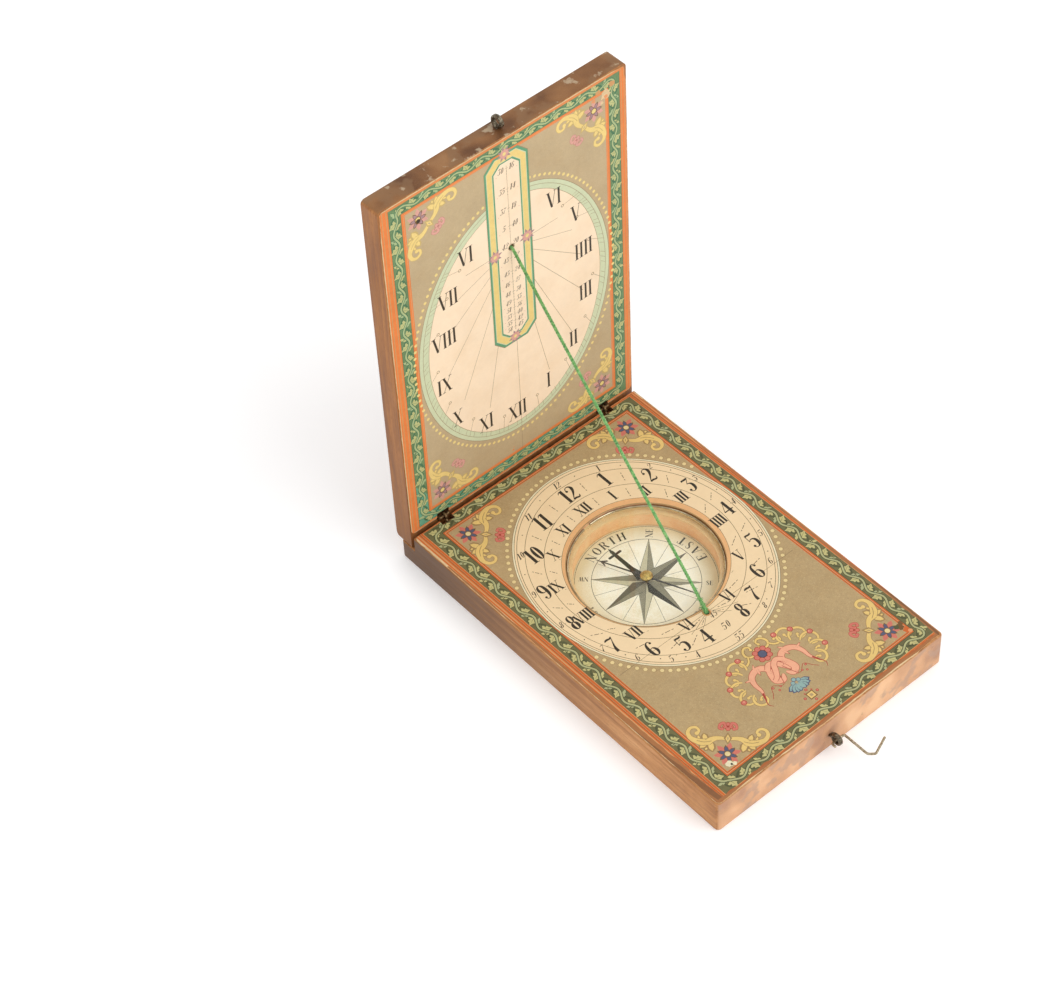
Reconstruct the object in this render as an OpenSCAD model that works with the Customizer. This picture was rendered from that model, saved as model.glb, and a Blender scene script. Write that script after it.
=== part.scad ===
// Pocket sundial of the folding (diptych) kind: two hinged wooden leaves faced
// with printed paper, a sunk compass in the lower leaf, a string gnomon that
// comes taut when the upper leaf stands upright, and a wire hook latch.
// Frame: origin at the centre of the lower leaf's underside, +Z up, +Y towards
// the hinge, -Y towards the latch. The upper leaf is drawn open at 90 degrees.

/* [Leaves] */
// Width of both leaves, along X
leaf_w = 75; // [60:1:95]
// Visible length of the lower leaf, from its front edge to the hinge line
face_l = 111; // [96:1:140]
// Thickness of the lower leaf with its paper
base_t = 10.5; // [9.5:0.5:14]
// Length of the rebated shelf behind the hinge line
shelf_l = 5.4; // [5:0.1:6]
// Depth of the shelf below the lower leaf's top face
shelf_drop = 4.8; // [4:0.1:5.4]
// Height of the upper leaf above the lower leaf's top face when open
lid_above = 110.8; // [96:0.2:140]
// Thickness of the upper leaf with its paper
lid_t = 6.1; // [5:0.1:8]
// Gap left between the two papered faces when closed
leaf_gap = 0.8; // [0.8:0.1:1.2]
// Radius of the leaves' corners
corner_r = 1.2; // [0.5:0.1:3]
// Radius of the upper leaf's lower back corner
heel_r = 2.6; // [1:0.1:3]
// Thickness of the printed paper
paper_t = 0.15; // [0.1:0.05:0.3]

/* [Compass] */
// Radius of the compass well
well_r = 19.9; // [15:0.1:22]
// Distance of the compass centre in front of the hinge line
compass_back = 45.7; // [40:0.1:50]
// Sideways place of the compass centre
compass_x = -0.2; // [-2:0.1:2]
// Height of the well's floor above the underside
well_floor = 3.4; // [3:0.1:4]
// Thickness of the compass card
card_t = 0.3; // [0.2:0.05:0.4]
// Thickness of the hoop that lines the well and carries the glass
hoop_t = 1.5; // [1:0.1:2]
// Thickness of the glass
glass_t = 1.2; // [1:0.1:1.3]
// Depth of the glass below the lower leaf's top face
glass_drop = 1; // [0.9:0.05:1.2]
// Wire diameter of the ring that holds the glass
ring_d = 0.7; // [0.6:0.05:0.9]
// Length of the north arm of the needle
needle_n = 14; // [10:0.5:15]
// Length of the south arm of the needle
needle_s = 14.3; // [10:0.1:15]
// Angle of the needle from +Y, anticlockwise
needle_angle = 23.8; // [0:0.1:360]

/* [String] */
// Diameter of the gnomon string
string_d = 0.7; // [0.5:0.05:0.8]
// Distance of the string's foot in front of the hinge line
foot_back = 67.2; // [66.8:0.1:72]
// Height of the string's upper hole above the lower leaf's top face
head_up = 75.9; // [65:0.1:85]
// Sideways place of the string
string_x = 0.1; // [-1:0.1:1]
// Diameter of the two string holes
hole_d = 1.5; // [1.3:0.1:1.8]

/* [Hinges] */
// Distance of each wire hinge from the middle
hinge_x = 27; // [18:0.5:28]
// Wire diameter of the staple in the upper leaf
staple_d = 0.8; // [0.7:0.05:0.9]
// Wire diameter of the eye in the lower leaf
eye_d = 0.7; // [0.6:0.05:0.8]
// Half the width of the notch cut for each hinge
notch_hw = 1.95; // [1.9:0.05:2.5]

/* [Latch] */
// Wire diameter of the two latch eyes
coil_d = 0.85; // [0.7:0.05:0.9]
// Radius of the latch eyes to the middle of the wire
coil_r = 1.4; // [1.3:0.05:1.5]
// Sideways place of the hook's eye
hook_eye_x = -0.7; // [-2:0.1:0]
// Height of the hook's eye above the underside
hook_eye_z = 4.85; // [4.5:0.05:5.5]
// Sideways place of the upper leaf's eye
latch_eye_x = 0.9; // [0:0.1:1]
// Wire diameter of the hook
hook_d = 0.64; // [0.5:0.02:0.7]

/* [Hidden] */
$fn = 64;

base_l = face_l + shelf_l;
y_front = -base_l / 2;
y_back = base_l / 2;
y_hinge = y_front + face_l;          // hinge line: back edge of the top face
z_top = base_t;
z_wood = base_t - paper_t;
z_shelf = base_t - shelf_drop;
axis_y = y_hinge + leaf_gap / 2;     // hinge axis
axis_z = z_top + leaf_gap / 2;
lid_y0 = y_hinge + leaf_gap;         // papered face of the open upper leaf
lid_y1 = lid_y0 + lid_t;
lid_z0 = z_shelf + 0.05;
lid_z1 = z_top + lid_above;
well_y = y_hinge - compass_back;
card_z = well_floor + card_t;
glass_z1 = z_top - glass_drop;
glass_z0 = glass_z1 - glass_t;
foot_y = y_hinge - foot_back;
head_z = z_top + head_up;
hook_eye_y = y_front - coil_r - coil_d / 2 - 0.17;
coil_pitch = coil_d - 0.03;
latch_eye_y = lid_y0 + 3.4;
latch_eye_z = lid_z1 + coil_r + coil_d / 2 + 0.08;
pivot_z = hook_eye_z - (coil_r - coil_d / 2 - hook_d / 2) + 0.03;

wood = [0.72, 0.50, 0.34];
paper = [0.78, 0.70, 0.42];
brass = [0.66, 0.52, 0.26];
iron = [0.33, 0.30, 0.27];

// Straight wire from a to b, with round ends so that wires meet at a bend
module wire(a, b, d) {
    v = b - a;
    l = norm(v);
    translate(a)
        rotate([0, acos(v[2] / l), atan2(v[1], v[0])])
            cylinder(h = l, d = d, $fn = 32);
}
module bead(p, d) translate(p) sphere(d = d, $fn = 32);
// Ring of wire whose hole runs along X
module ring_x(r, d) rotate([0, 90, 0]) rotate_extrude($fn = 64)
    translate([r, 0]) circle(d = d, $fn = 32);
// Rectangle with round corners
module round_rect(w, l, r) {
    square([w - 2 * r, l], center = true);
    square([w, l - 2 * r], center = true);
    for (x = [-1, 1], y = [-1, 1])
        translate([x * (w / 2 - r), y * (l / 2 - r)]) circle(r = r, $fn = 48);
}
module at_hinges(side) translate([side * hinge_x, axis_y, axis_z]) children();

// ---- lower leaf -------------------------------------------------------
module base_leaf() color(wood) difference() {
    intersection() {
        linear_extrude(z_wood) round_rect(leaf_w, base_l, corner_r);
        rotate([90, 0, 90]) linear_extrude(leaf_w + 10, center = true)
            polygon([[y_front - 1, 0], [y_back + 1, 0], [y_back + 1, z_shelf],
                     [y_hinge, z_shelf], [y_hinge, z_wood], [y_front - 1, z_wood]]);
    }
    // compass well and the hole of the pivot pin
    translate([compass_x, well_y, well_floor]) cylinder(h = 20, r = well_r, $fn = 128);
    translate([compass_x, well_y, 1.4]) cylinder(h = 20, d = 0.9, $fn = 32);
    // string hole, widened below for the knot
    translate([string_x, foot_y, -1]) cylinder(h = 20, d = hole_d, $fn = 32);
    translate([string_x, foot_y, -1]) cylinder(h = 3.2, r = 1.6, $fn = 48);
    // hinge notches and the slanting holes of the hinge eyes
    for (s = [-1, 1]) {
        translate([s * hinge_x - notch_hw, y_hinge - 1.6, z_top - 1.8])
            cube([2 * notch_hw, 5, 5]);
        at_hinges(s) wire([0, -0.8 * sqrt(0.5), -0.8 * sqrt(0.5)], [0, -4.6, -4.6], eye_d);
    }
    // holes of the hook's eye
    for (s = [-0.5, 0.5])
        translate([hook_eye_x + s * coil_pitch, y_front - 1, hook_eye_z])
            rotate([-90, 0, 0]) cylinder(h = 7, d = coil_d, $fn = 32);
}
module base_paper() color(paper) translate([0, 0, z_wood]) difference() {
    intersection() {
        linear_extrude(paper_t) round_rect(leaf_w, base_l, corner_r);
        translate([-leaf_w, y_front - 1, 0]) cube([2 * leaf_w, face_l + 1, 1]);
    }
    translate([compass_x, well_y, -1]) cylinder(h = 5, r = well_r, $fn = 128);
    translate([string_x, foot_y, -1]) cylinder(h = 5, d = hole_d, $fn = 32);
    for (s = [-1, 1])
        translate([s * hinge_x - notch_hw, y_hinge - 1.6, -1]) cube([2 * notch_hw, 5, 5]);
}
module well_hoop() color([0.80, 0.42, 0.25])
    translate([compass_x, well_y, well_floor]) difference() {
        cylinder(h = glass_z0 - well_floor, r = well_r, $fn = 128);
        translate([0, 0, -1]) cylinder(h = 20, r = well_r - hoop_t, $fn = 128);
    }
module compass_card() color([0.86, 0.82, 0.70])
    translate([compass_x, well_y, well_floor]) difference() {
        cylinder(h = card_t, r = well_r - hoop_t, $fn = 128);
        translate([0, 0, -1]) cylinder(h = 5, d = 0.9, $fn = 32);
    }
module needle_pivot() color(brass) translate([compass_x, well_y, 1.4])
    rotate_extrude($fn = 32)
        polygon([[0, 0], [0.45, 0], [0.45, 3.3], [0, 4.45]]);
module compass_glass() color([0.8, 0.86, 0.86, 0.35])
    translate([compass_x, well_y, glass_z0])
        cylinder(h = glass_t, r = well_r - 0.05, $fn = 128);
module glass_ring() color(brass)
    translate([compass_x, well_y, glass_z1 + ring_d / 2])
        rotate([0, 0, 100]) rotate_extrude(angle = 354, $fn = 128)
            translate([well_r - ring_d / 2, 0]) circle(d = ring_d, $fn = 24);
// Wire eye round the hinge axis, with its shank slanting into the wood
module hinge_eye(side) color(iron) at_hinges(side) {
    ring_x(0.8, eye_d);
    difference() {
        wire([0, -0.8 * sqrt(0.5), -0.8 * sqrt(0.5)], [0, -4.6, -4.6], eye_d);
        rotate([0, 90, 0]) cylinder(h = 4, r = 0.7, center = true, $fn = 32);
    }
}
module base_hinge_eye_left() hinge_eye(-1);
module base_hinge_eye_right() hinge_eye(1);
// Two turns of wire, both ends let into the wood
module hook_eye() color(iron) for (s = [-0.5, 0.5])
    translate([hook_eye_x + s * coil_pitch, hook_eye_y, hook_eye_z]) {
        ring_x(coil_r, coil_d);
        wire([0, coil_r, 0], [0, y_front + 6 - hook_eye_y, 0], coil_d);
    }
module base_string_knot() color([0.20, 0.62, 0.26])
    translate([string_x, foot_y, 0]) knot(0.5, 2);
// Knot as two crossed turns, from a to b along Z
module knot(a, b) rotate_extrude($fn = 32) {
    translate([0, a]) square([0.55, b - a]);
    for (t = [0.3, 0.7]) translate([0.6, a + t * (b - a)]) circle(r = 0.42, $fn = 24);
}

// ---- upper leaf -------------------------------------------------------
module lid_leaf() color(wood) difference() {
    intersection() {
        rotate([90, 0, 90]) linear_extrude(leaf_w, center = true) difference() {
            translate([lid_y0 + paper_t, lid_z0]) square([lid_t - paper_t, lid_z1 - lid_z0]);
            translate([lid_y1 - heel_r, lid_z0 - 1])
                difference() {
                    square([heel_r + 1, heel_r + 1]);
                    translate([0, heel_r + 1]) circle(r = heel_r, $fn = 64);
                }
        }
        translate([0, lid_y0 - 1, (lid_z0 + lid_z1) / 2]) rotate([-90, 0, 0])
            linear_extrude(lid_t + 2) round_rect(leaf_w, lid_z1 - lid_z0, corner_r);
    }
    // string hole, widened at the back for the knot
    translate([string_x, lid_y0 - 1, head_z]) rotate([-90, 0, 0]) cylinder(h = 20, d = hole_d, $fn = 32);
    translate([string_x, lid_y1 - 1.9, head_z]) rotate([-90, 0, 0]) cylinder(h = 5, r = 1.6, $fn = 48);
    // hinge notches and the holes of the staples' legs
    for (s = [-1, 1]) {
        translate([s * hinge_x - notch_hw, lid_y0 - 1, axis_z - 1.6])
            cube([2 * notch_hw, 2.3, 3.2]);
        for (t = [-1, 1]) at_hinges(s)
            translate([t * 1.35, 0, 0]) rotate([-90, 0, 0]) cylinder(h = 5.4, d = staple_d, $fn = 32);
    }
    for (s = [-0.5, 0.5])
        translate([latch_eye_x + s * coil_pitch, latch_eye_y, lid_z1 - 6])
            cylinder(h = 8, d = coil_d, $fn = 32);
}
module lid_paper() color(paper) difference() {
    intersection() {
        translate([-leaf_w, lid_y0, z_top + 0.4]) cube([2 * leaf_w, paper_t, 200]);
        translate([0, lid_y0 - 1, (lid_z0 + lid_z1) / 2]) rotate([-90, 0, 0])
            linear_extrude(lid_t + 2) round_rect(leaf_w, lid_z1 - lid_z0, corner_r);
    }
    translate([string_x, lid_y0 - 1, head_z]) rotate([-90, 0, 0]) cylinder(h = 5, d = hole_d, $fn = 32);
    for (s = [-1, 1])
        translate([s * hinge_x - notch_hw, lid_y0 - 1, axis_z - 1.6]) cube([2 * notch_hw, 3, 3.2]);
}
// U of wire: the crossbar lies on the hinge axis, the legs go into the leaf
module hinge_staple(side) color(iron) at_hinges(side) {
    wire([-1.35, 0, 0], [1.35, 0, 0], staple_d);
    for (t = [-1.35, 1.35]) {
        bead([t, 0, 0], staple_d);
        wire([t, 0, 0], [t, 5.4, 0], staple_d);
    }
}
module lid_hinge_staple_left() hinge_staple(-1);
module lid_hinge_staple_right() hinge_staple(1);
module latch_eye() color(iron) for (s = [-0.5, 0.5])
    translate([latch_eye_x + s * coil_pitch, latch_eye_y, latch_eye_z]) {
        ring_x(coil_r, coil_d);
        wire([0, 0, -coil_r], [0, 0, lid_z1 - 6 - latch_eye_z], coil_d);
    }
module lid_string_knot() color([0.20, 0.62, 0.26])
    translate([string_x, lid_y1, head_z]) rotate([90, 0, 0]) knot(0.2, 1.7);

// ---- compass needle ---------------------------------------------------
module at_needle() translate([compass_x, well_y, 0]) rotate([0, 0, needle_angle]) children();
module compass_needle() color([0.20, 0.20, 0.22]) at_needle()
    translate([0, 0, 5.3]) difference() {
        union() {
            cylinder(h = 0.3, r = 1.5, $fn = 48);
            translate([0, 1, 0]) linear_extrude(0.3)
                polygon([[-0.4, 0], [-0.2, needle_n - 3.2], [-1.15, needle_n - 4.4], [0, needle_n - 1],
                         [1.15, needle_n - 4.4], [0.2, needle_n - 3.2], [0.4, 0]]);
            translate([0, -1, 0]) linear_extrude(0.3)
                polygon([[-0.4, 0], [0.4, 0], [0.2, 3 - needle_s], [0, 1 - needle_s], [-0.2, 3 - needle_s]]);
        }
        translate([0, 0, -1]) cylinder(h = 3, r = 0.95, $fn = 48);
    }
module needle_cap() color(brass) at_needle() difference() {
    rotate_extrude($fn = 48)
        polygon([[0, 4.85], [0.95, 4.85], [0.95, 5.6], [1.6, 5.6], [1.6, 6.0], [1.2, 6.4], [0.6, 6.6], [0, 6.65]]);
    translate([0, 0, 4.8]) cylinder(h = 1.15, r1 = 0.8, r2 = 0.05, $fn = 48);
}

// ---- hook -------------------------------------------------------------
module latch_hook() color(iron) translate([0, hook_eye_y, pivot_z]) {
    route = [[-2.2, -1.4, 0], [-2.2, 0, 0], [1.9, 0, 0], [1.9, -7.8, 0], [3.4, -9.1, 0], [8.6, -7, 0]];
    for (i = [0 : len(route) - 2]) wire(route[i], route[i + 1], hook_d);
    for (i = [1 : len(route) - 2]) bead(route[i], hook_d);
}

// ---- gnomon string: one tube swept along its route ---------------------
function ringpts(p, t, r) = let (
    n = t / norm(t), u = [1, 0, 0], w = cross(n, u))
    [for (k = [0 : 7]) p + r * (cos(45 * k) * u + sin(45 * k) * w)];
module gnomon_string() color([0.20, 0.62, 0.26]) {
    a = [string_x, foot_y, z_top + 0.15];
    b = [string_x, lid_y0 - 0.15, head_z];
    n = 24;
    path = concat(
        [[string_x, foot_y, 2], [string_x, foot_y, 6]],
        [for (i = [0 : n]) a + (b - a) * i / n],
        [[string_x, lid_y0 + 2, head_z], [string_x, lid_y1 - 1.72, head_z]]);
    m = len(path);
    d = [for (i = [0 : m - 1])
            let (p = path[max(i - 1, 0)], q = path[min(i + 1, m - 1)],
                 e0 = (path[i] - p) / max(norm(path[i] - p), 0.001),
                 e1 = (q - path[i]) / max(norm(q - path[i]), 0.001)) e0 + e1];
    pts = [for (i = [0 : m - 1]) each ringpts(path[i], d[i], string_d / 2)];
    polyhedron(points = pts, faces = concat(
        [[for (k = [0 : 7]) k]],
        [for (i = [0 : m - 2], k = [0 : 7])
            [i * 8 + (k + 1) % 8, i * 8 + k, (i + 1) * 8 + k, (i + 1) * 8 + (k + 1) % 8]],
        [[for (k = [7 : -1 : 0]) (m - 1) * 8 + k]]));
}

base_leaf();
base_paper();
well_hoop();
compass_card();
needle_pivot();
compass_glass();
glass_ring();
base_hinge_eye_left();
base_hinge_eye_right();
hook_eye();
base_string_knot();
lid_leaf();
lid_paper();
lid_hinge_staple_left();
lid_hinge_staple_right();
latch_eye();
lid_string_knot();
compass_needle();
needle_cap();
latch_hook();
gnomon_string();
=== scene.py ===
import math
import random

import bpy
import numpy as np
from mathutils import Matrix, Vector
from mathutils.geometry import delaunay_2d_cdt


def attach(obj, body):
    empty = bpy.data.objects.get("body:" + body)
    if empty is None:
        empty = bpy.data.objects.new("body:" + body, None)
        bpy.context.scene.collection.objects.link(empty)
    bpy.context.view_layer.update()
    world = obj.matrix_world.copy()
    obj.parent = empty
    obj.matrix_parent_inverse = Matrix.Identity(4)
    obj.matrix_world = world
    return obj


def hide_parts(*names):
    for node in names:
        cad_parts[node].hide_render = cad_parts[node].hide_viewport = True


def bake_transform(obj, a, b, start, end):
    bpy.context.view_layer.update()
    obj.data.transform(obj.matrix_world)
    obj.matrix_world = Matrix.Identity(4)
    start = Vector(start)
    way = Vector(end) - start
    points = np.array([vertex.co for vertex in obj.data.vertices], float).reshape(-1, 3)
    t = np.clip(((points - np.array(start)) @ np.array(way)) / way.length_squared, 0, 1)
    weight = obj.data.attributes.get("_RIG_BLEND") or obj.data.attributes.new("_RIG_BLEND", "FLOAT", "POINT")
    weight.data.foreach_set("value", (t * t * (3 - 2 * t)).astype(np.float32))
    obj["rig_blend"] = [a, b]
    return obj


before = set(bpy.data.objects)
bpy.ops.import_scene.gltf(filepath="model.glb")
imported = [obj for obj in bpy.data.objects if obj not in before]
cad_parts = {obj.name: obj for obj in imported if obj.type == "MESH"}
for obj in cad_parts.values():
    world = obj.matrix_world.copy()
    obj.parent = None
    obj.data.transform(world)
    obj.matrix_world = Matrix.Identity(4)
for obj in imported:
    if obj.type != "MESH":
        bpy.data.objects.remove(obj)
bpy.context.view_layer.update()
rng = random.Random(7)
MM = 0.001
pi, sin, cos = math.pi, math.sin, math.cos

# ---------------------------------------------------------------- camera
cam = bpy.data.cameras.new("camera")
cam.sensor_width, cam.lens = 36.0, 2965.718 * 36 / 1055
cam.clip_start, cam.clip_end = 0.05, 20
cam_ob = bpy.data.objects.new("camera", cam)
bpy.context.scene.collection.objects.link(cam_ob)
right = Vector((0.75382794, -0.65589357, -0.03933274))
down = Vector((-0.51320005, -0.55033293, -0.65860411))
forward = Vector((0.4103281, 0.51665975, -0.75146095))
turn = Matrix((right, -down, -forward)).transposed().to_4x4()
cam_ob.matrix_world = Matrix.Translation(Vector((-0.316183, -0.344991, 0.574694))) @ turn
bpy.context.scene.camera = cam_ob

# ---------------------------------------------------------------- measures, in mm
X = 37.5
Y_FRONT, Y_BACK, Y_HINGE = -58.2, 58.2, 52.8
Z_TOP, Z_WOOD, Z_SHELF = 10.5, 10.35, 5.7
AX_Y, AX_Z = 53.2, 10.9
LID_Y0, LID_Y1, LID_Z0, LID_Z1 = 53.6, 59.7, 5.75, 121.3
WELL_X, WELL_Y, WELL_R = -0.2, 7.1, 19.9
CARD_Z, GLASS_Z0, GLASS_Z1 = 3.7, 8.3, 9.5
FOOT = (0.1, -14.4)
HEAD = (0.1, 86.4)
HINGE_X, NOTCH = 27.0, 1.95


def col(r, g, b):
    """8-bit display colour to the linear colour a shader takes"""
    return tuple((c / 255 / 12.92 if c / 255 <= 0.04045 else ((c / 255 + 0.055) / 1.055) ** 2.4) for c in (r, g, b)) + (1.0,)


# ---------------------------------------------------------------- materials
class Shade:
    """A Principled material whose patterns are laid out in millimetres of the part frame"""

    def __init__(self, name, base=(0.5, 0.5, 0.5, 1), rough=0.6, **sockets):
        self.m = bpy.data.materials.new(name)
        self.m.use_nodes = True
        self.t = self.m.node_tree
        self.t.nodes.clear()
        self.out = self.t.nodes.new("ShaderNodeOutputMaterial")
        self.b = self.t.nodes.new("ShaderNodeBsdfPrincipled")
        self.t.links.new(self.b.outputs[0], self.out.inputs[0])
        self.b.inputs["Base Color"].default_value = base
        self.b.inputs["Roughness"].default_value = rough
        for k, v in sockets.items():
            self.b.inputs[k.replace("_", " ")].default_value = v
        self.obj = self.t.nodes.new("ShaderNodeTexCoord").outputs["Object"]

    def put(self, socket, value):
        self.t.links.new(value, self.b.inputs[socket])

    def node(self, kind, ins=(), out=0, **props):
        n = self.t.nodes.new("ShaderNode" + kind)
        for k, v in props.items():
            setattr(n, k, v)
        for k, v in dict(ins).items():
            if isinstance(v, bpy.types.NodeSocket):
                self.t.links.new(v, n.inputs[k])
            else:
                n.inputs[k].default_value = v
        return n.outputs[out]

    def at(self, scale=(1, 1, 1), loc=(0, 0, 0), rot=(0, 0, 0)):
        """Coordinates in mm, stretched by scale"""
        return self.node("Mapping", {0: self.obj, "Location": loc, "Rotation": rot, "Scale": tuple(1000 * s for s in scale)})

    def noise(self, scale, detail=3.0, rough=0.5, at=None, dist=0.0, out=0):
        return self.node("TexNoise", {"Vector": at or self.at(), "Scale": scale, "Detail": detail, "Roughness": rough, "Distortion": dist}, out)

    def cells(self, scale, at=None, feature="F1", out="Distance", randomness=1.0):
        return self.node("TexVoronoi", {"Vector": at or self.at(), "Scale": scale, "Randomness": randomness}, out, feature=feature)

    def ramp(self, fac, stops, interpolation="LINEAR"):
        n = self.t.nodes.new("ShaderNodeValToRGB")
        n.color_ramp.interpolation = interpolation
        while len(n.color_ramp.elements) < len(stops):
            n.color_ramp.elements.new(0.5)
        for e, (p, c) in zip(n.color_ramp.elements, stops):
            e.position = p
            e.color = c if isinstance(c, tuple) else (c, c, c, 1)
        self.t.links.new(fac, n.inputs[0])
        return n.outputs[0]

    def math(self, op, a, b=0.0, clamp=False):
        return self.node("Math", {0: a, 1: b}, 0, operation=op, use_clamp=clamp)

    def range(self, v, lo, hi, to_lo=0.0, to_hi=1.0):
        return self.node("MapRange", {0: v, 1: lo, 2: hi, 3: to_lo, 4: to_hi}, 0)

    def mix(self, fac, a, b, mode="MIX"):
        return self.node("Mix", {0: fac, 6: a, 7: b}, 2, data_type="RGBA", blend_type=mode)

    def xyz(self):
        n = self.t.nodes.new("ShaderNodeSeparateXYZ")
        self.t.links.new(self.at(), n.inputs[0])
        return n.outputs

    def normal(self):
        n = self.t.nodes.new("ShaderNodeSeparateXYZ")
        g = self.t.nodes.new("ShaderNodeNewGeometry")
        self.t.links.new(g.outputs["Normal"], n.inputs[0])
        return n.outputs

    def bump(self, height, mm, strength=1.0, normal=None):
        ins = {"Height": height, "Distance": mm * MM, "Strength": strength}
        if normal is not None:
            ins["Normal"] = normal
        return self.node("Bump", ins)


def printed(name, rgb, blotch=0.10, mid=0.10, fine=0.12, brown=0.25, rough=0.72, stipple=None, lift=1.0):
    """Ink or water-colour on old laid paper: blotches, fibre grain, a brown cast in the stains"""
    s = Shade(name, rgb, rough, Specular_IOR_Level=0.32)
    big = s.noise(0.09, 4, 0.6)
    med = s.noise(0.9, 3, 0.6, dist=0.3)
    grain = s.noise(5.5, 2, 0.7)
    k = s.math("ADD", 1.0, s.math("MULTIPLY", s.math("SUBTRACT", big, 0.5), 2.4 * blotch))
    k = s.math("ADD", k, s.math("MULTIPLY", s.math("SUBTRACT", med, 0.5), 2.4 * mid))
    k = s.math("ADD", k, s.math("MULTIPLY", s.math("SUBTRACT", grain, 0.5), 2.4 * fine))
    c = s.mix(1.0, rgb, s.node("CombineColor", {0: k, 1: k, 2: k}), "MULTIPLY")
    stain = s.ramp(s.noise(0.16, 5, 0.65, at=s.at(loc=(31, 7, 3))), [(0.46, 0.0), (0.74, 1.0)])
    warm = tuple(a * b for a, b in zip(rgb[:3], (0.80, 0.66, 0.46))) + (1,)
    c = s.mix(s.math("MULTIPLY", stain, brown), c, warm)
    if stipple:
        dots = s.cells(stipple[0], at=s.at(), randomness=0.9)
        pick = s.ramp(dots, [(0.12, 1.0), (0.34, 0.0)])
        which = s.noise(1.7, 2, at=s.at(loc=(5, 9, 2)))
        tone = s.mix(s.ramp(which, [(0.47, 0.0), (0.53, 1.0)]), stipple[1], stipple[2])
        c = s.mix(s.math("MULTIPLY", pick, stipple[3]), c, tone)
    s.put("Base Color", c)
    s.put("Roughness", s.range(med, 0.3, 0.7, rough - 0.08, rough + 0.1))
    fibre = s.noise(2.6, 4, 0.65, at=s.at((1, 0.55, 1)))
    s.put("Normal", s.bump(s.math("ADD", fibre, s.math("MULTIPLY", grain, 0.5)), 0.035 * lift, 0.8))
    return s.m


C = {
    "ground": col(174, 149, 108), "cream": col(230, 204, 164), "green": col(104, 100, 64), "pale": col(164, 166, 122), "tan": col(198, 146, 94),
    "leafy": col(186, 178, 120), "orange": col(196, 98, 44), "salmon": col(216, 146, 98), "yellow": col(218, 186, 114),
    "dot": col(218, 196, 142), "ink": col(52, 45, 34), "line": col(104, 88, 60), "pink": col(198, 112, 96), "flesh": col(226, 164, 132),
    "blue": col(84, 86, 108), "sky": col(138, 166, 160), "red": col(160, 62, 50), "brown": col(112, 80, 44), "white": col(222, 212, 178),
    "shade": col(80, 82, 52), "dim": col(150, 122, 80), "rim": col(220, 170, 118),
    "rub": col(160, 106, 64), "rub_dark": col(128, 86, 54), "rust": col(166, 96, 52), "frayed": col(220, 190, 146),
}
M = {}
for key, rgb in C.items():
    if key == "ground":
        M[key] = printed("print_ground", rgb, 0.10, 0.12, 0.12, 0.22, 0.75, (3.2, col(128, 104, 68), col(208, 188, 146), 0.6))
    elif key == "cream":
        M[key] = printed("print_cream", rgb, 0.05, 0.035, 0.04, 0.10, 0.70)
    elif key in ("green", "shade"):
        M[key] = printed("print_" + key, rgb, 0.14, 0.30, 0.22, 0.20, 0.66)
    elif key in ("ink", "line"):
        M[key] = printed("print_" + key, rgb, 0.05, 0.20, 0.20, 0.0, 0.62)
    else:
        M[key] = printed("print_" + key, rgb, 0.08, 0.10, 0.12, 0.12, 0.68)
M["lid_ground"] = printed("print_lid_ground", col(184, 162, 126), 0.10, 0.07, 0.08, 0.20, 0.75, (3.4, col(152, 130, 92), col(214, 196, 158), 0.35))
M["lid_cream"] = printed("print_lid_cream", col(240, 216, 186), 0.07, 0.035, 0.035, 0.20, 0.70)
M["lid_green"] = printed("print_lid_green", col(104, 132, 90), 0.16, 0.30, 0.18, 0.42, 0.66)
M["lid_shade"] = printed("print_lid_shade", col(72, 112, 80), 0.14, 0.26, 0.18, 0.25, 0.66)
M["lid_pale"] = printed("print_lid_pale", col(160, 178, 130), 0.10, 0.12, 0.12, 0.15, 0.66)
M["lid_leafy"] = printed("print_lid_leafy", col(182, 182, 124), 0.10, 0.12, 0.12, 0.15, 0.66)
M["lid_orange"] = printed("print_lid_orange", col(220, 124, 62), 0.10, 0.12, 0.12, 0.10, 0.66)
M["lid_yellow"] = printed("print_lid_yellow", col(226, 198, 124), 0.08, 0.10, 0.12, 0.12, 0.68)
M["lid_dot"] = printed("print_lid_dot", col(226, 202, 130), 0.08, 0.08, 0.1, 0.12, 0.68)
M["lid_ring"] = printed("print_lid_ring", col(198, 204, 168), 0.06, 0.08, 0.08, 0.10, 0.70)
M["lid_teal"] = printed("print_lid_teal", col(96, 150, 112), 0.10, 0.14, 0.14, 0.10, 0.66)
M["lid_pink"] = printed("print_lid_pink", col(208, 154, 140), 0.10, 0.14, 0.14, 0.10, 0.68)
M["lid_violet"] = printed("print_lid_violet", col(160, 128, 130), 0.10, 0.14, 0.14, 0.10, 0.68)
M["lid_dim"] = printed("print_lid_dim", col(190, 164, 104), 0.08, 0.12, 0.12, 0.1, 0.68)
M["lid_rose"] = printed("print_lid_rose", col(180, 118, 108), 0.10, 0.14, 0.14, 0.10, 0.68)
M["lid_aqua"] = printed("print_lid_aqua", col(100, 158, 128), 0.16, 0.30, 0.18, 0.22, 0.66)
M["lid_line"] = printed("print_lid_line", col(150, 130, 98), 0.05, 0.15, 0.15, 0.0, 0.66)
M["lid_ink"] = printed("print_lid_ink", col(60, 50, 38), 0.05, 0.20, 0.20, 0.0, 0.62)
M["bare"] = printed("paper_torn", col(214, 186, 144), 0.10, 0.2, 0.2, 0.3, 0.85, lift=2.5)
M["edge"] = printed("paper_edge", col(206, 176, 128), 0.15, 0.25, 0.25, 0.4, 0.85, lift=1.5)


# ---------------------------------------------------------------- flat art
def arr(p):
    return np.array(p, float).reshape(-1, 2)


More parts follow.
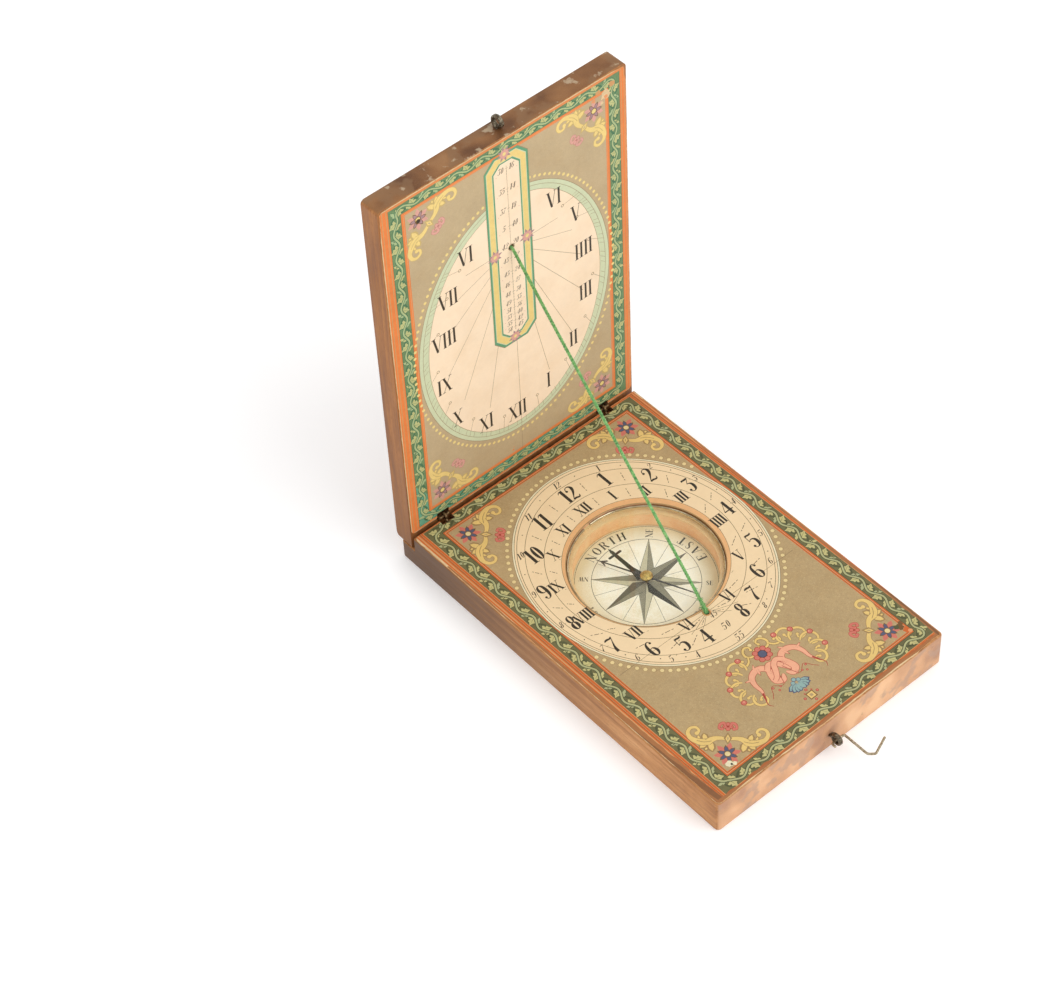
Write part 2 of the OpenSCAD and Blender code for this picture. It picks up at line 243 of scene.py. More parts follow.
class Art:
    """Flat art as shapes in painter's order, in mm; flat() cuts them into one sheet with no overlaps"""

    def __init__(self, outline, holes=()):
        self.v, self.e, self.s = [], [], []
        self.poly(outline, None)
        for h in holes:
            self.poly(h, "hole")

    def poly(self, pts, c):
        n, m = len(self.v), len(pts)
        self.v += [(float(a), float(b)) for a, b in pts]
        self.e += [(n + i, n + (i + 1) % m) for i in range(m)]
        self.s.append((c, [list(range(n, n + m))]))

    def strip(self, a, b, c, closed=False):
        """The band between two lines of points"""
        k, m = len(self.v), len(a)
        self.v += [tuple(map(float, q)) for q in np.concatenate([a, b])]
        tris = []
        for i in range(m if closed else m - 1):
            j = (i + 1) % m
            self.e += [(k + i, k + j), (k + m + i, k + m + j)]
            tris += [[k + i, k + m + i, k + m + j], [k + i, k + m + j, k + j]]
        if not closed:
            self.e += [(k, k + m), (k + m - 1, k + 2 * m - 1)]
        self.s.append((c, tris))

    def stroke(self, pts, w, c, closed=False):
        p = arr(pts)
        if len(p) < 2:
            return
        w = np.broadcast_to(np.asarray(w, float), (len(p),)) / 2
        if closed:
            t = np.roll(p, -1, 0) - np.roll(p, 1, 0)
        else:
            t = np.gradient(p, axis=0) if len(p) > 2 else np.repeat(p[1:] - p[:1], 2, 0)
        t /= np.maximum(np.linalg.norm(t, axis=1, keepdims=True), 1e-9)
        n = np.stack([-t[:, 1], t[:, 0]], 1)
        self.strip(p + n * w[:, None], p - n * w[:, None], c, closed)

    def disc(self, c, r, colour, n=10, ry=None, rot=0.0):
        ry = r if ry is None else ry
        t = np.arange(n) * 2 * pi / n
        q = np.stack([r * np.cos(t), ry * np.sin(t)], 1)
        q = q @ np.array([[cos(rot), sin(rot)], [-sin(rot), cos(rot)]])
        self.poly(q + np.array(c), colour)

    def ring(self, c, rx, ry, w, colour, n=120):
        self.stroke(ellipse(c, rx, ry, n), w, colour, closed=True)

    def flat(self):
        """(points, [(triangle, colour)]) of what shows: every triangle takes the last shape that its middle is in"""
        v, _, faces, _, _, _ = delaunay_2d_cdt([Vector(p) for p in self.v], self.e, [], 0, 1e-4, False)
        v = np.array([tuple(p) for p in v])
        tri = np.array([list(f) for f in faces if len(f) == 3], int)
        mid = v[tri].mean(1)
        order = np.argsort(mid[:, 0])
        tri, mid = tri[order], mid[order]
        top = np.full(len(tri), -1)
        hole = np.zeros(len(tri), bool)
        src = np.array(self.v)
        for k, (c, rings) in enumerate(self.s):
            for r in rings:
                q = src[r]
                lo, hi = q.min(0), q.max(0)
                i0, i1 = np.searchsorted(mid[:, 0], (lo[0], hi[0]))
                if i0 == i1:
                    continue
                m = mid[i0:i1]
                pick = np.nonzero((m[:, 1] >= lo[1]) & (m[:, 1] <= hi[1]))[0]
                if not len(pick):
                    continue
                x, y = m[pick, 0], m[pick, 1]
                inside = np.zeros(len(pick), bool)
                j = len(q) - 1
                for i in range(len(q)):
                    (xi, yi), (xj, yj) = q[i], q[j]
                    if yi != yj:
                        inside ^= ((yi > y) != (yj > y)) & (x < (xj - xi) * (y - yi) / (yj - yi) + xi)
                    j = i
                hit = i0 + pick[inside]
                if c == "hole":
                    hole[hit] = True
                elif k == 0:
                    top[hit] = 0
                else:
                    hit = hit[top[hit] >= 0]
                    top[hit] = k
        shown = [(list(map(int, f)), self.s[k][0] if k else self.ground) for f, k, h in zip(tri, top, hole) if k >= 0 and not h]
        return v, shown


def ellipse(c, rx, ry, n=120, start=0.0):
    t = start + np.arange(n) * 2 * pi / n
    return np.stack([c[0] + rx * np.cos(t), c[1] + ry * np.sin(t)], 1)


def smooth(points, per=8):
    """Catmull-Rom through the points"""
    p = arr(points)
    p = np.concatenate([[2 * p[0] - p[1]], p, [2 * p[-1] - p[-2]]])
    out = []
    for i in range(1, len(p) - 2):
        for k in range(per):
            t = k / per
            out.append(0.5 * (2 * p[i] + (p[i + 1] - p[i - 1]) * t + (2 * p[i - 1] - 5 * p[i] + 4 * p[i + 1] - p[i + 2]) * t * t
                              + (3 * p[i] - p[i - 1] - 3 * p[i + 1] + p[i + 2]) * t ** 3))
    out.append(p[-2])
    return np.array(out)


def smooth1(values, per=8):
    """The same spacing for a list of widths"""
    x = np.arange(len(values))
    return np.interp(np.linspace(0, len(values) - 1, (len(values) - 1) * per + 1), x, values)


# ---------------------------------------------------------------- letters, in a unit height
TH, TN = 0.17, 0.04


def bar(x0, x1, y, w=0.036):
    return ("p", [(x0, y - w / 2), (x1, y - w / 2), (x1, y + w / 2), (x0, y + w / 2)])


def stem(x, w=TH, y0=0.0, y1=1.0):
    return ("p", [(x - w / 2, y0), (x + w / 2, y0), (x + w / 2, y1), (x - w / 2, y1)])


def diag(x0, y0, x1, y1, w):
    return ("p", [(x0 - w / 2, y0), (x0 + w / 2, y0), (x1 + w / 2, y1), (x1 - w / 2, y1)])


def bowl(cx, cy, rx, ry, thick=TH, thin=TN, n=24):
    t = np.arange(n + 1) * 2 * pi / n
    return ("s", [(cx + (rx - thick / 2) * cos(a), cy + (ry - thin / 2) * sin(a), thin + (thick - thin) * abs(cos(a)) ** 1.3) for a in t])


def serifs(x, y, w=TH, reach=0.09):
    return bar(x - w / 2 - reach, x + w / 2 + reach, y)


GLYPH = {
    "I": (0.36, [stem(0.18), serifs(0.18, 0.018), serifs(0.18, 0.982)]),
    "V": (0.70, [diag(0.13, 1, 0.36, 0, TH), diag(0.60, 1, 0.38, 0, TN), serifs(0.13, 0.982), serifs(0.60, 0.982, TN)]),
    "X": (0.72, [diag(0.14, 1, 0.58, 0, TH), diag(0.60, 1, 0.13, 0, TN), serifs(0.14, 0.982), serifs(0.60, 0.982, TN), serifs(0.58, 0.018), serifs(0.13, 0.018, TN)]),
    "0": (0.52, [bowl(0.26, 0.5, 0.22, 0.5)]),
    "1": (0.42, [stem(0.24), ("s", [(0.03, 0.84, 0.03), (0.10, 0.93, 0.05), (0.17, 0.98, 0.04)]), serifs(0.24, 0.018)]),
    "2": (0.54, [("s", [(0.08, 0.72, 0.05), (0.12, 0.90, 0.05), (0.26, 0.98, 0.045), (0.40, 0.91, 0.11), (0.44, 0.76, 0.17), (0.38, 0.56, 0.14), (0.22, 0.32, 0.07), (0.07, 0.10, 0.035)]),
                 ("d", 0.11, 0.73, 0.075), ("s", [(0.05, 0.06, 0.09), (0.20, 0.10, 0.12), (0.36, 0.05, 0.11), (0.46, 0.08, 0.07), (0.49, 0.20, 0.03)])]),
    "3": (0.52, [("p", [(0.07, 0.99), (0.06, 0.85), (0.14, 0.88), (0.30, 0.86), (0.44, 0.90), (0.46, 0.99)]), ("s", [(0.43, 0.93, 0.035), (0.20, 0.60, 0.035)]),
                 ("s", [(0.19, 0.60, 0.03), (0.30, 0.60, 0.06), (0.40, 0.50, 0.13), (0.42, 0.32, 0.17), (0.38, 0.13, 0.14), (0.26, 0.02, 0.05), (0.12, 0.06, 0.04), (0.07, 0.17, 0.04)]), ("d", 0.10, 0.18, 0.075)]),
    "4": (0.60, [diag(0.40, 1, 0.03, 0.33, 0.036), stem(0.38, 0.16, 0.0, 0.98), bar(0.02, 0.57, 0.32, 0.07), serifs(0.38, 0.018, 0.16, 0.07)]),
    "5": (0.52, [("p", [(0.09, 0.99), (0.09, 0.86), (0.20, 0.89), (0.34, 0.86), (0.47, 0.90), (0.49, 1.01), (0.36, 0.97), (0.22, 1.0)]), diag(0.105, 0.95, 0.085, 0.52, 0.036),
                 ("s", [(0.08, 0.52, 0.03), (0.19, 0.61, 0.05), (0.32, 0.60, 0.08), (0.42, 0.48, 0.15), (0.43, 0.28, 0.17), (0.37, 0.10, 0.13), (0.25, 0.02, 0.05), (0.12, 0.05, 0.04), (0.07, 0.15, 0.04)]), ("d", 0.10, 0.16, 0.075)]),
    "6": (0.52, [("s", [(0.42, 0.84, 0.04), (0.38, 0.95, 0.04), (0.28, 0.98, 0.045), (0.16, 0.88, 0.11), (0.10, 0.66, 0.16), (0.09, 0.38, 0.17), (0.13, 0.14, 0.13), (0.25, 0.02, 0.045), (0.37, 0.10, 0.11), (0.42, 0.28, 0.16), (0.37, 0.46, 0.11), (0.26, 0.55, 0.04), (0.15, 0.48, 0.035), (0.11, 0.36, 0.03)]), ("d", 0.40, 0.84, 0.07)]),
    "8": (0.52, [bowl(0.26, 0.755, 0.19, 0.245, 0.13), bowl(0.26, 0.27, 0.22, 0.27, 0.17)]),
    "7": (0.50, [("s", [(0.03, 0.86, 0.04), (0.10, 0.91, 0.11), (0.22, 0.92, 0.13), (0.36, 0.89, 0.10), (0.47, 0.97, 0.05)]), ("s", [(0.46, 0.95, 0.04), (0.36, 0.70, 0.05), (0.24, 0.40, 0.10), (0.19, 0.18, 0.16), (0.19, 0.0, 0.17)])]),
    "N": (0.86, [stem(0.15, TN), stem(0.71, TN), diag(0.14, 1, 0.70, 0, 0.2), serifs(0.12, 0.982, 0.08), serifs(0.71, 0.982, TN), serifs(0.15, 0.018, TN)]),
    "O": (0.82, [bowl(0.41, 0.5, 0.37, 0.5, 0.19, 0.045, 28)]),
    "R": (0.82, [stem(0.17, 0.18), ("s", [(0.17, 0.98, 0.04), (0.42, 0.97, 0.05), (0.56, 0.86, 0.14), (0.58, 0.76, 0.18), (0.54, 0.62, 0.12), (0.40, 0.53, 0.045), (0.17, 0.52, 0.04)]), diag(0.40, 0.52, 0.66, 0, 0.18), serifs(0.17, 0.018), serifs(0.17, 0.982)]),
    "T": (0.76, [stem(0.38, 0.19), bar(0.04, 0.72, 0.975, 0.05), stem(0.06, 0.045, 0.76, 1), stem(0.70, 0.045, 0.76, 1), serifs(0.38, 0.018)]),
    "H": (0.90, [stem(0.18, 0.18), stem(0.70, 0.18), bar(0.18, 0.70, 0.5, 0.05), serifs(0.18, 0.018), serifs(0.18, 0.982), serifs(0.70, 0.018), serifs(0.70, 0.982)]),
    "E": (0.74, [stem(0.18, 0.18), bar(0.05, 0.66, 0.98, 0.045), bar(0.05, 0.66, 0.02, 0.045), bar(0.18, 0.50, 0.5, 0.045), stem(0.64, 0.04, 0.76, 1), stem(0.64, 0.04, 0, 0.24), stem(0.50, 0.04, 0.38, 0.62)]),
    "A": (0.86, [diag(0.40, 1, 0.12, 0, TN), diag(0.42, 1, 0.68, 0, 0.19), bar(0.22, 0.58, 0.33, 0.04), serifs(0.12, 0.018, TN), serifs(0.68, 0.018)]),
    "S": (0.60, [("s", [(0.48, 0.74, 0.035), (0.42, 0.93, 0.045), (0.28, 0.98, 0.05), (0.13, 0.88, 0.11), (0.12, 0.70, 0.15), (0.28, 0.53, 0.18), (0.45, 0.36, 0.16), (0.46, 0.14, 0.12), (0.30, 0.02, 0.05), (0.14, 0.07, 0.045), (0.07, 0.27, 0.035)])]),
    "U": (0.84, [stem(0.18, 0.18, 0.25, 1), stem(0.66, TN, 0.25, 1), ("s", [(0.18, 0.28, 0.18), (0.22, 0.10, 0.14), (0.40, 0.02, 0.05), (0.60, 0.10, 0.05), (0.66, 0.28, 0.04)]), serifs(0.18, 0.982), serifs(0.66, 0.982, TN)]),
    "W": (1.06, [diag(0.12, 1, 0.34, 0, 0.17), diag(0.52, 0.92, 0.36, 0, TN), diag(0.52, 1, 0.72, 0, 0.17), diag(0.92, 1, 0.74, 0, TN), serifs(0.12, 0.982), serifs(0.92, 0.982, TN), serifs(0.52, 0.982)]),
}
GLYPH["9"] = (0.52, [(e[0], [(0.52 - a[0], 1 - a[1]) + tuple(a[2:]) for a in e[1]]) if e[0] != "d" else ("d", 0.52 - e[1], 1 - e[2], e[3]) for e in GLYPH["6"][1]])


LIGHT = {"I": (0.30, [stem(0.15, 0.125), serifs(0.15, 0.018, 0.125, 0.05), serifs(0.15, 0.982, 0.125, 0.05)]),
         "V": (0.62, [diag(0.10, 1, 0.32, 0, 0.125), diag(0.54, 1, 0.34, 0, 0.03), serifs(0.10, 0.982, 0.12, 0.06), serifs(0.54, 0.982, 0.03, 0.07)]),
         "X": (0.62, [diag(0.12, 1, 0.50, 0, 0.125), diag(0.52, 1, 0.10, 0, 0.03), serifs(0.12, 0.982, 0.12, 0.06), serifs(0.52, 0.982, 0.03, 0.07), serifs(0.50, 0.018, 0.12, 0.06), serifs(0.10, 0.018, 0.03, 0.07)])}


def letters(art, text, centre, height, colour, slant=0.0, turn=0.0, track=0.0, bold=1.0, per=3, face=None):
    """Text centred on a point; turn is anticlockwise, in radians"""
    face = face or GLYPH
    width = sum(face[c][0] for c in text) + track * (len(text) - 1)
    x = -width / 2
    ca, sa = cos(turn), sin(turn)

    def place(p):
        px, py = p[0] + x + slant * (p[1] - 0.5), p[1] - 0.5
        return (centre[0] + height * (px * ca - py * sa), centre[1] + height * (px * sa + py * ca))

    for ch in text:
        for e in face[ch][1]:
            if e[0] == "p":
                art.poly([place(p) for p in e[1]], colour)
            elif e[0] == "d":
                art.disc(place((e[1], e[2])), e[3] * height * bold, colour, 8)
            else:
                pts, w = e[1], [q[2] for q in e[1]]
                line = smooth([q[:2] for q in pts], per) if len(pts) > 2 and len(pts) < 20 else arr([q[:2] for q in pts])
                wide = smooth1(w, per) if len(line) != len(w) else np.array(w)
                art.stroke([place(p) for p in line], wide * height * bold, colour)
        x += face[ch][0] + track


# ---------------------------------------------------------------- ornaments
def place(points, at, along, flip=1.0, size=1.0):
    """Local (u, v) to the page, u along the direction `along` (radians), v to its left times flip"""
    p = arr(points) * size
    c, s = cos(along), sin(along)
    u, v = p[:, 0], p[:, 1] * flip
    return np.stack([at[0] + u * c - v * s, at[1] + u * s + v * c], 1)


LOBED = [(0, 0.05), (0.16, 0.16), (0.20, 0.46), (0.36, 0.40), (0.42, 0.20), (0.60, 0.34), (0.70, 0.16), (1.0, 0.0)]
LOBED += [(a, -b) for a, b in reversed(LOBED[:-1])]
LONG = [(0, 0.03), (0.22, 0.20), (0.42, 0.26), (0.50, 0.12), (0.72, 0.18), (1.0, 0.0), (0.74, -0.12), (0.5, -0.14), (0.36, -0.24), (0.18, -0.12), (0, -0.03)]
PETAL = [(0.0, 0.10), (0.35, 0.30), (0.72, 0.26), (1.0, 0.0), (0.72, -0.26), (0.35, -0.30), (0.0, -0.10)]
POINTED = [(0.0, 0.08), (0.4, 0.16), (0.75, 0.11), (1.0, 0.0), (0.75, -0.11), (0.4, -0.16), (0.0, -0.08)]


def vine(art, x0, y0, x1, y1, half, period, pal, seed):
    """A running vine round a rectangle's middle line, with one lobed leaf outward and one long leaf inward in each wave"""
    r = random.Random(seed)
    rad = 1.8
    pts, nor = [], []

    def side(a, b, n):
        a, b = np.array(a, float), np.array(b, float)
        k = max(int(np.linalg.norm(b - a) / 0.42), 2)
        for i in range(k):
            pts.append(a + (b - a) * i / k)
            nor.append(n)

    def corner(c, a0):
        for i in range(6):
            a = a0 - i / 6 * pi / 2
            pts.append(np.array([c[0] + rad * cos(a), c[1] + rad * sin(a)]))
            nor.append((cos(a), sin(a)))

    side((x0, y0 + rad), (x0, y1 - rad), (-1, 0))
    corner((x0 + rad, y1 - rad), pi)
    side((x0 + rad, y1), (x1 - rad, y1), (0, 1))
    corner((x1 - rad, y1 - rad), pi / 2)
    side((x1, y1 - rad), (x1, y0 + rad), (1, 0))
    corner((x1 - rad, y0 + rad), 0)
    side((x1 - rad, y0), (x0 + rad, y0), (0, -1))
    corner((x0 + rad, y0 + rad), -pi / 2)
    pts, nor = np.array(pts), np.array(nor, float)
    step = np.linalg.norm(np.roll(pts, -1, 0) - pts, axis=1)
    s = np.concatenate([[0], np.cumsum(step)[:-1]])
    total = step.sum()
    waves = round(total / period)
    phase = 2 * pi * waves * s / total
    amp = half * 0.43
    line = pts + nor * (amp * np.sin(phase))[:, None]

    def at(t):
        t = t % total
        i = int(np.searchsorted(s, t, "right") - 1)
        return line[i], nor[i], math.atan2(*(line[(i + 1) % len(line)] - line[i])[::-1])

    # soft dark shading that follows the stem
    art.stroke(pts - nor * (amp * 1.45 * np.sin(phase + 0.5))[:, None], 0.5, pal["shade"], closed=True)
    L = total / waves
    for k in range(waves):
        for t0, out, shape, size in ((0.71, 1, LOBED, 0.38), (0.20, -1, LOBED, 0.36), (0.94, -1, LONG, 0.34), (0.44, 1, LONG, 0.34)):
            p, n, head = at((k + t0 + r.uniform(-0.03, 0.03)) * L)
            long = shape is LONG
            if long:
                d = head + (0.50 if out < 0 else -0.50)
                leaf = place(shape, p, d, -out, L * size * r.uniform(0.85, 1.05))
            else:
                d = math.atan2(n[1] * out, n[0] * out) + (0.42 if out > 0 else -0.42)
                leaf = place(shape, p - 0.1 * out * n, d, 1, L * size * r.uniform(0.90, 1.06))
            mid = leaf.mean(0)
            art.poly(mid + (leaf - mid) * 1.22, pal["shade"])
            art.poly(leaf, pal["leafy"] if not long or r.random() < 0.5 else pal["pale"])
            tip = leaf[5 if long else len(shape) // 2]
            if not long:
                art.stroke([p + 0.15 * (tip - p), p + 0.8 * (tip - p)], [0.12, 0.05], pal["green"])
    art.stroke(line, 0.86, pal["shade"], closed=True)
    art.stroke(line, 0.46, pal["pale"], closed=True)
    art.stroke(line - nor * 0.12, 0.10, pal["leafy"], closed=True)


def band(art, outer, inner, colour):
    """The frame between two upright rectangles, each x0, y0, x1, y1"""
    def c(q):
        return arr([(q[0], q[1]), (q[0], q[3]), (q[2], q[3]), (q[2], q[1])])
    art.strip(c(outer), c(inner), colour, True)


def flower(art, c, r, petals, ring1, ring2, heart, seed=0, outline="brown"):
    """Two rings of petals round a pale heart"""
    g = random.Random(seed)
    for i in range(petals):
        a = 2 * pi * i / petals + g.uniform(-0.08, 0.08)
        art.poly(place(POINTED, c, a + pi / petals, 1.5, r * 1.12), ring2)
    for i in range(petals):
        a = 2 * pi * i / petals + g.uniform(-0.08, 0.08)
        art.poly(place(PETAL, c, a, 0.72, r * 0.86), outline)
        art.poly(place(PETAL, c, a, 0.68, r * 0.76), ring1)
    art.disc(c, r * 0.30, outline, 10)
    art.disc(c, r * 0.23, heart, 10)


def blossom(art, c, r, colour, outline, n=4, turn=0.0):
    for i in range(n):
        a = turn + 2 * pi * i / n
        art.disc((c[0] + r * 0.55 * cos(a), c[1] + r * 0.55 * sin(a)), r * 0.52, outline, 8)
    for i in range(n):
        a = turn + 2 * pi * i / n
        art.disc((c[0] + r * 0.55 * cos(a), c[1] + r * 0.55 * sin(a)), r * 0.40, colour, 8)
    art.disc(c, r * 0.25, outline, 7)


def scroll(art, pts, w, colour, outline="brown", ball=0.0, per=6, rim=0.22):
    line, wide = smooth(pts, per), smooth1(w, per)
    art.stroke(line, wide + rim, outline)
    if ball:
        art.disc(pts[-1], ball + rim / 2, outline, 10)
    art.stroke(line, wide, colour)
    if ball:
        art.disc(pts[-1], ball, colour, 10)


def corner_piece(art, corner, su, sv, pal, seed):
    """Scrolls, a two-colour flower and a small blossom, mirrored about the corner's diagonal"""
    def q(u, v):
        return (corner[0] + su * u, corner[1] + sv * v)

    for swap in (False, True):
        def m(u, v):
            return q(v, u) if swap else q(u, v)
        def barb(u, v, a, b, fat=1.0):
            p0, p1 = m(u, v), m(a, b)
            h, ln = math.atan2(p1[1] - p0[1], p1[0] - p0[0]), math.hypot(p1[0] - p0[0], p1[1] - p0[1])
            for k, c in ((1.14, rim), (1.0, pal["yellow"])):
                art.poly(place(PETAL, p0, h, fat * (1.25 if k > 1 else 0.85), ln * k), c)
        rim = pal["dim"]
        for u, v, a, b, fat in ((9.6, 2.5, 11.7, 3.7, 0.9), (9.3, 3.2, 8.0, 0.7, 1.1), (9.5, 2.8, 9.3, 0.2, 1.0), (9.2, 3.2, 6.7, 1.7, 0.9), (10.8, 1.5, 12.3, 2.4, 0.7)):
            barb(u, v, a, b, fat)
        scroll(art, [m(9.2, 2.9), m(10.2, 1.7), m(11.6, 0.9), m(13.1, 0.6), m(14.5, 1.2), m(15.0, 2.5), m(14.3, 3.6), m(13.1, 3.5), m(12.9, 2.6)],
               [1.7, 1.8, 1.45, 1.1, 0.9, 0.75, 0.7, 0.6, 0.8], pal["yellow"], rim, 0.55, 6, 0.26)
        scroll(art, [m(6.6, 6.6), m(7.7, 6.0), m(8.7, 5.0), m(9.2, 3.9), m(9.3, 2.6)], [0.65, 0.9, 1.15, 1.5, 1.7], pal["yellow"], rim, 0.0, 6, 0.26)
        art.stroke(smooth([m(8.9, 3.6), m(9.9, 2.1), m(11.4, 1.1)], 5), 0.16, rim)
    d = [q(8.1, 8.1), q(6.2, 7.6), q(5.6, 5.6), q(7.6, 6.2)]
    art.poly(d, pal["dim"])
    art.poly([q(7.7, 7.7), q(6.4, 7.2), q(6.0, 6.0), q(7.2, 6.4)], pal["yellow"])
    art.poly([q(7.3, 7.3), q(6.7, 7.0), q(6.4, 6.4), q(7.0, 6.7)], pal["ground"])
    flower(art, q(3.7, 3.7), 3.0, 6, pal["blue"], pal["pink"], pal["dot"], seed, pal["brown"])
    blossom(art, q(9.3, 9.3), 1.25, pal["pink"], pal["red"], 4, pi / 4)
    for side in (-1, 1):
        curl = [(9.3 + side * 0.4, 9.3 - side * 0.4), (10.0 + side * 0.7, 10.0 - side * 0.7), (9.7 + side * 1.3, 9.7 - side * 1.3), (8.9 + side * 1.45, 8.9 - side * 1.45), (8.8 + side * 1.0, 8.8 - side * 1.0)]
        scroll(art, [q(*c) for c in curl], [0.45, 0.7, 0.65, 0.5, 0.45], pal["pink"], pal["red"], 0.4, 5, 0.18)


def rub(art, a, b, inward, depth, colour, seed, lo=0.6, hi=1.25):
    """A worn strip along a sheet's edge from a to b, as deep as the list says, with a ragged inner line"""
    g = random.Random(seed)
    a, b, n = np.array(a, float), np.array(b, float), np.array(inward, float)
    k = max(int(np.linalg.norm(b - a) / 0.7), 3)
    t = np.linspace(0, 1, k + 1)
    d = np.interp(t, np.linspace(0, 1, len(depth)), depth)
    d = np.array([max(q * g.uniform(lo, hi), 0.02) for q in d])
    d = np.convolve(np.concatenate([d[:1], d, d[-1:]]), (0.25, 0.5, 0.25), "valid")
    line = a + (b - a) * t[:, None]
    art.strip(line, line + n * d[:, None], colour, False)


def sheet_edge(x0, y0, x1, y1, r, seed, amp=0.10, chips=()):
    """A slightly worn rectangle with round corners, as a closed line"""
    g = random.Random(seed)
    pts = []
    for (cx, cy), a0 in (((x1 - r, y1 - r), 0), ((x0 + r, y1 - r), pi / 2), ((x0 + r, y0 + r), pi), ((x1 - r, y0 + r), 1.5 * pi)):
        for i in range(6):
            a = a0 + i / 5 * pi / 2
            pts.append((cx + r * cos(a), cy + r * sin(a)))
    p, out = np.array(pts), []
    for i in range(len(p)):
        a, b = p[i], p[(i + 1) % len(p)]
        n = max(int(np.linalg.norm(b - a) / 0.9), 1)
        t = (b - a) / max(np.linalg.norm(b - a), 1e-9)
        inward = np.array([-t[1], t[0]])
        for k in range(n):
            q = a + (b - a) * k / n
            d = g.uniform(-amp, amp) * (k > 0)
            for cx, cy, cr, depth in chips:
                u = math.hypot(q[0] - cx, q[1] - cy) / cr
                if u < 1:
                    d += depth * (1 - u * u) * g.uniform(0.6, 1.1)
            out.append(q + inward * d)
    return np.array(out)


def circle(c, r, n=64):
    return ellipse(c, r, r, n)


def box_poly(x0, y0, x1, y1):
    return [(x0, y0), (x1, y0), (x1, y1), (x0, y1)]


# ---------------------------------------------------------------- meshes
made = []


def mesh_object(name, verts, faces, mats, body, replaces=(), indices=None, smooth_shade=False, auto=None):
    me = bpy.data.meshes.new(name)
    me.from_pydata([tuple(float(c) for c in v) for v in verts], [], [tuple(int(i) for i in f) for f in faces])
    for m in mats:
        me.materials.append(m)
    if indices is not None:
        me.polygons.foreach_set("material_index", np.array(indices, np.int32))
    if smooth_shade:
        me.polygons.foreach_set("use_smooth", np.ones(len(me.polygons), bool))
        if auto:
            me.set_sharp_from_angle(angle=math.radians(auto))
    me.update()
    ob = bpy.data.objects.new(name, me)
    bpy.context.scene.collection.objects.link(ob)
    if body:
        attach(ob, body)
    if replaces:
        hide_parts(*replaces)
    made.append(ob)
    return ob


def art_objects(prefix, art, to3, normal, depth, body, node, groups):
    """One flat piece for each group of colours, and the sheet's cut edges"""
    pts, shown = art.flat()
    p3 = np.array([to3(*p) for p in pts]) * MM
    n = np.array(normal, float)
    by = {}
    for f, c in shown:
        by.setdefault(groups.get(c, c), []).append((f, c))
    first = True
    for g, rows in sorted(by.items(), key=lambda kv: -len(kv[1])):
        used, faces, idx, mats = {}, [], [], []
        for f, c in rows:
            a, b, cc = (p3[i] for i in f[:3])
            f = list(f) if np.dot(np.cross(b - a, cc - a), n) > 0 else list(reversed(f))
            faces.append([used.setdefault(i, len(used)) for i in f])
            m = M[c]
            if m not in mats:
                mats.append(m)
            idx.append(mats.index(m))
        verts = [p3[i] for i in used]
        mesh_object(prefix + "_" + g, verts, faces, mats, body, (node,) if first else (), idx)
        first = False
    # the sheet's thickness: every edge used by one face only
    count = {}
    for f, _ in shown:
        for i in range(len(f)):
            a, b = f[i], f[(i + 1) % len(f)]
            count.setdefault(tuple(sorted((a, b))), []).append((a, b))
    rim = [e[0] for e in count.values() if len(e) == 1]
    used, faces = {}, []
    for a, b in rim:
        for i in (a, b):
            used.setdefault(i, len(used))
    k = len(used)
    top = [p3[i] for i in used]
    low = [p - n * depth * MM for p in top]
    verts = top + low
    tri_n = {}
    for a, b in rim:
        faces.append((used[a], used[a] + k, used[b] + k, used[b]))
    ob = mesh_object(prefix + "_cut_edge", verts, faces, [M["edge"]], body)
    return ob


# ---------------------------------------------------------------- the lower leaf's print
GROUPS = {"tan": "orange", "line": "ink", "shade": "green", "leafy": "vine", "pale": "vine", "salmon": "orange", "dot": "gold", "yellow": "gold", "brown": "gold",
          "pink": "flowers", "flesh": "flowers", "red": "flowers", "blue": "flowers", "sky": "flowers", "white": "flowers", "bare": "worn", "rub": "worn", "rub_dark": "worn", "rust": "worn", "frayed": "worn", "rim": "orange",
          "dim": "gold", "lid_line": "ink", "lid_ink": "ink", "lid_shade": "green", "lid_green": "green", "lid_leafy": "vine", "lid_pale": "vine", "lid_orange": "orange",
          "lid_yellow": "gold", "lid_dot": "gold", "lid_aqua": "green", "lid_pink": "flowers", "lid_rose": "flowers", "lid_dim": "gold", "lid_violet": "flowers", "lid_ground": "ground", "lid_cream": "cream",
          "lid_ring": "ring", "lid_teal": "ring"}
PAL = {k: k for k in C}
LPAL = {"shade": "lid_shade", "leafy": "lid_leafy", "pale": "lid_pale", "green": "lid_green", "yellow": "lid_yellow", "brown": "brown", "blue": "lid_violet",
        "pink": "lid_pink", "red": "lid_rose", "dot": "lid_dot", "ground": "lid_ground", "dim": "lid_dim"}


def hour_angle(h, phi):
    """Angle of an hour line from noon, of a horizontal dial for latitude phi (or a vertical one for 90 - phi)"""
    a = math.radians(15 * h)
    return math.atan2(sin(math.radians(phi)) * sin(a), cos(a))


def hit_ellipse(p, d, c, rx, ry):
    """Distance along d from p, inside, to the ellipse"""
    px, py, dx, dy = (p[0] - c[0]) / rx, (p[1] - c[1]) / ry, d[0] / rx, d[1] / ry
    a, b, k = dx * dx + dy * dy, px * dx + py * dy, px * px + py * py - 1
    return (-b + math.sqrt(max(b * b - a * k, 0))) / a


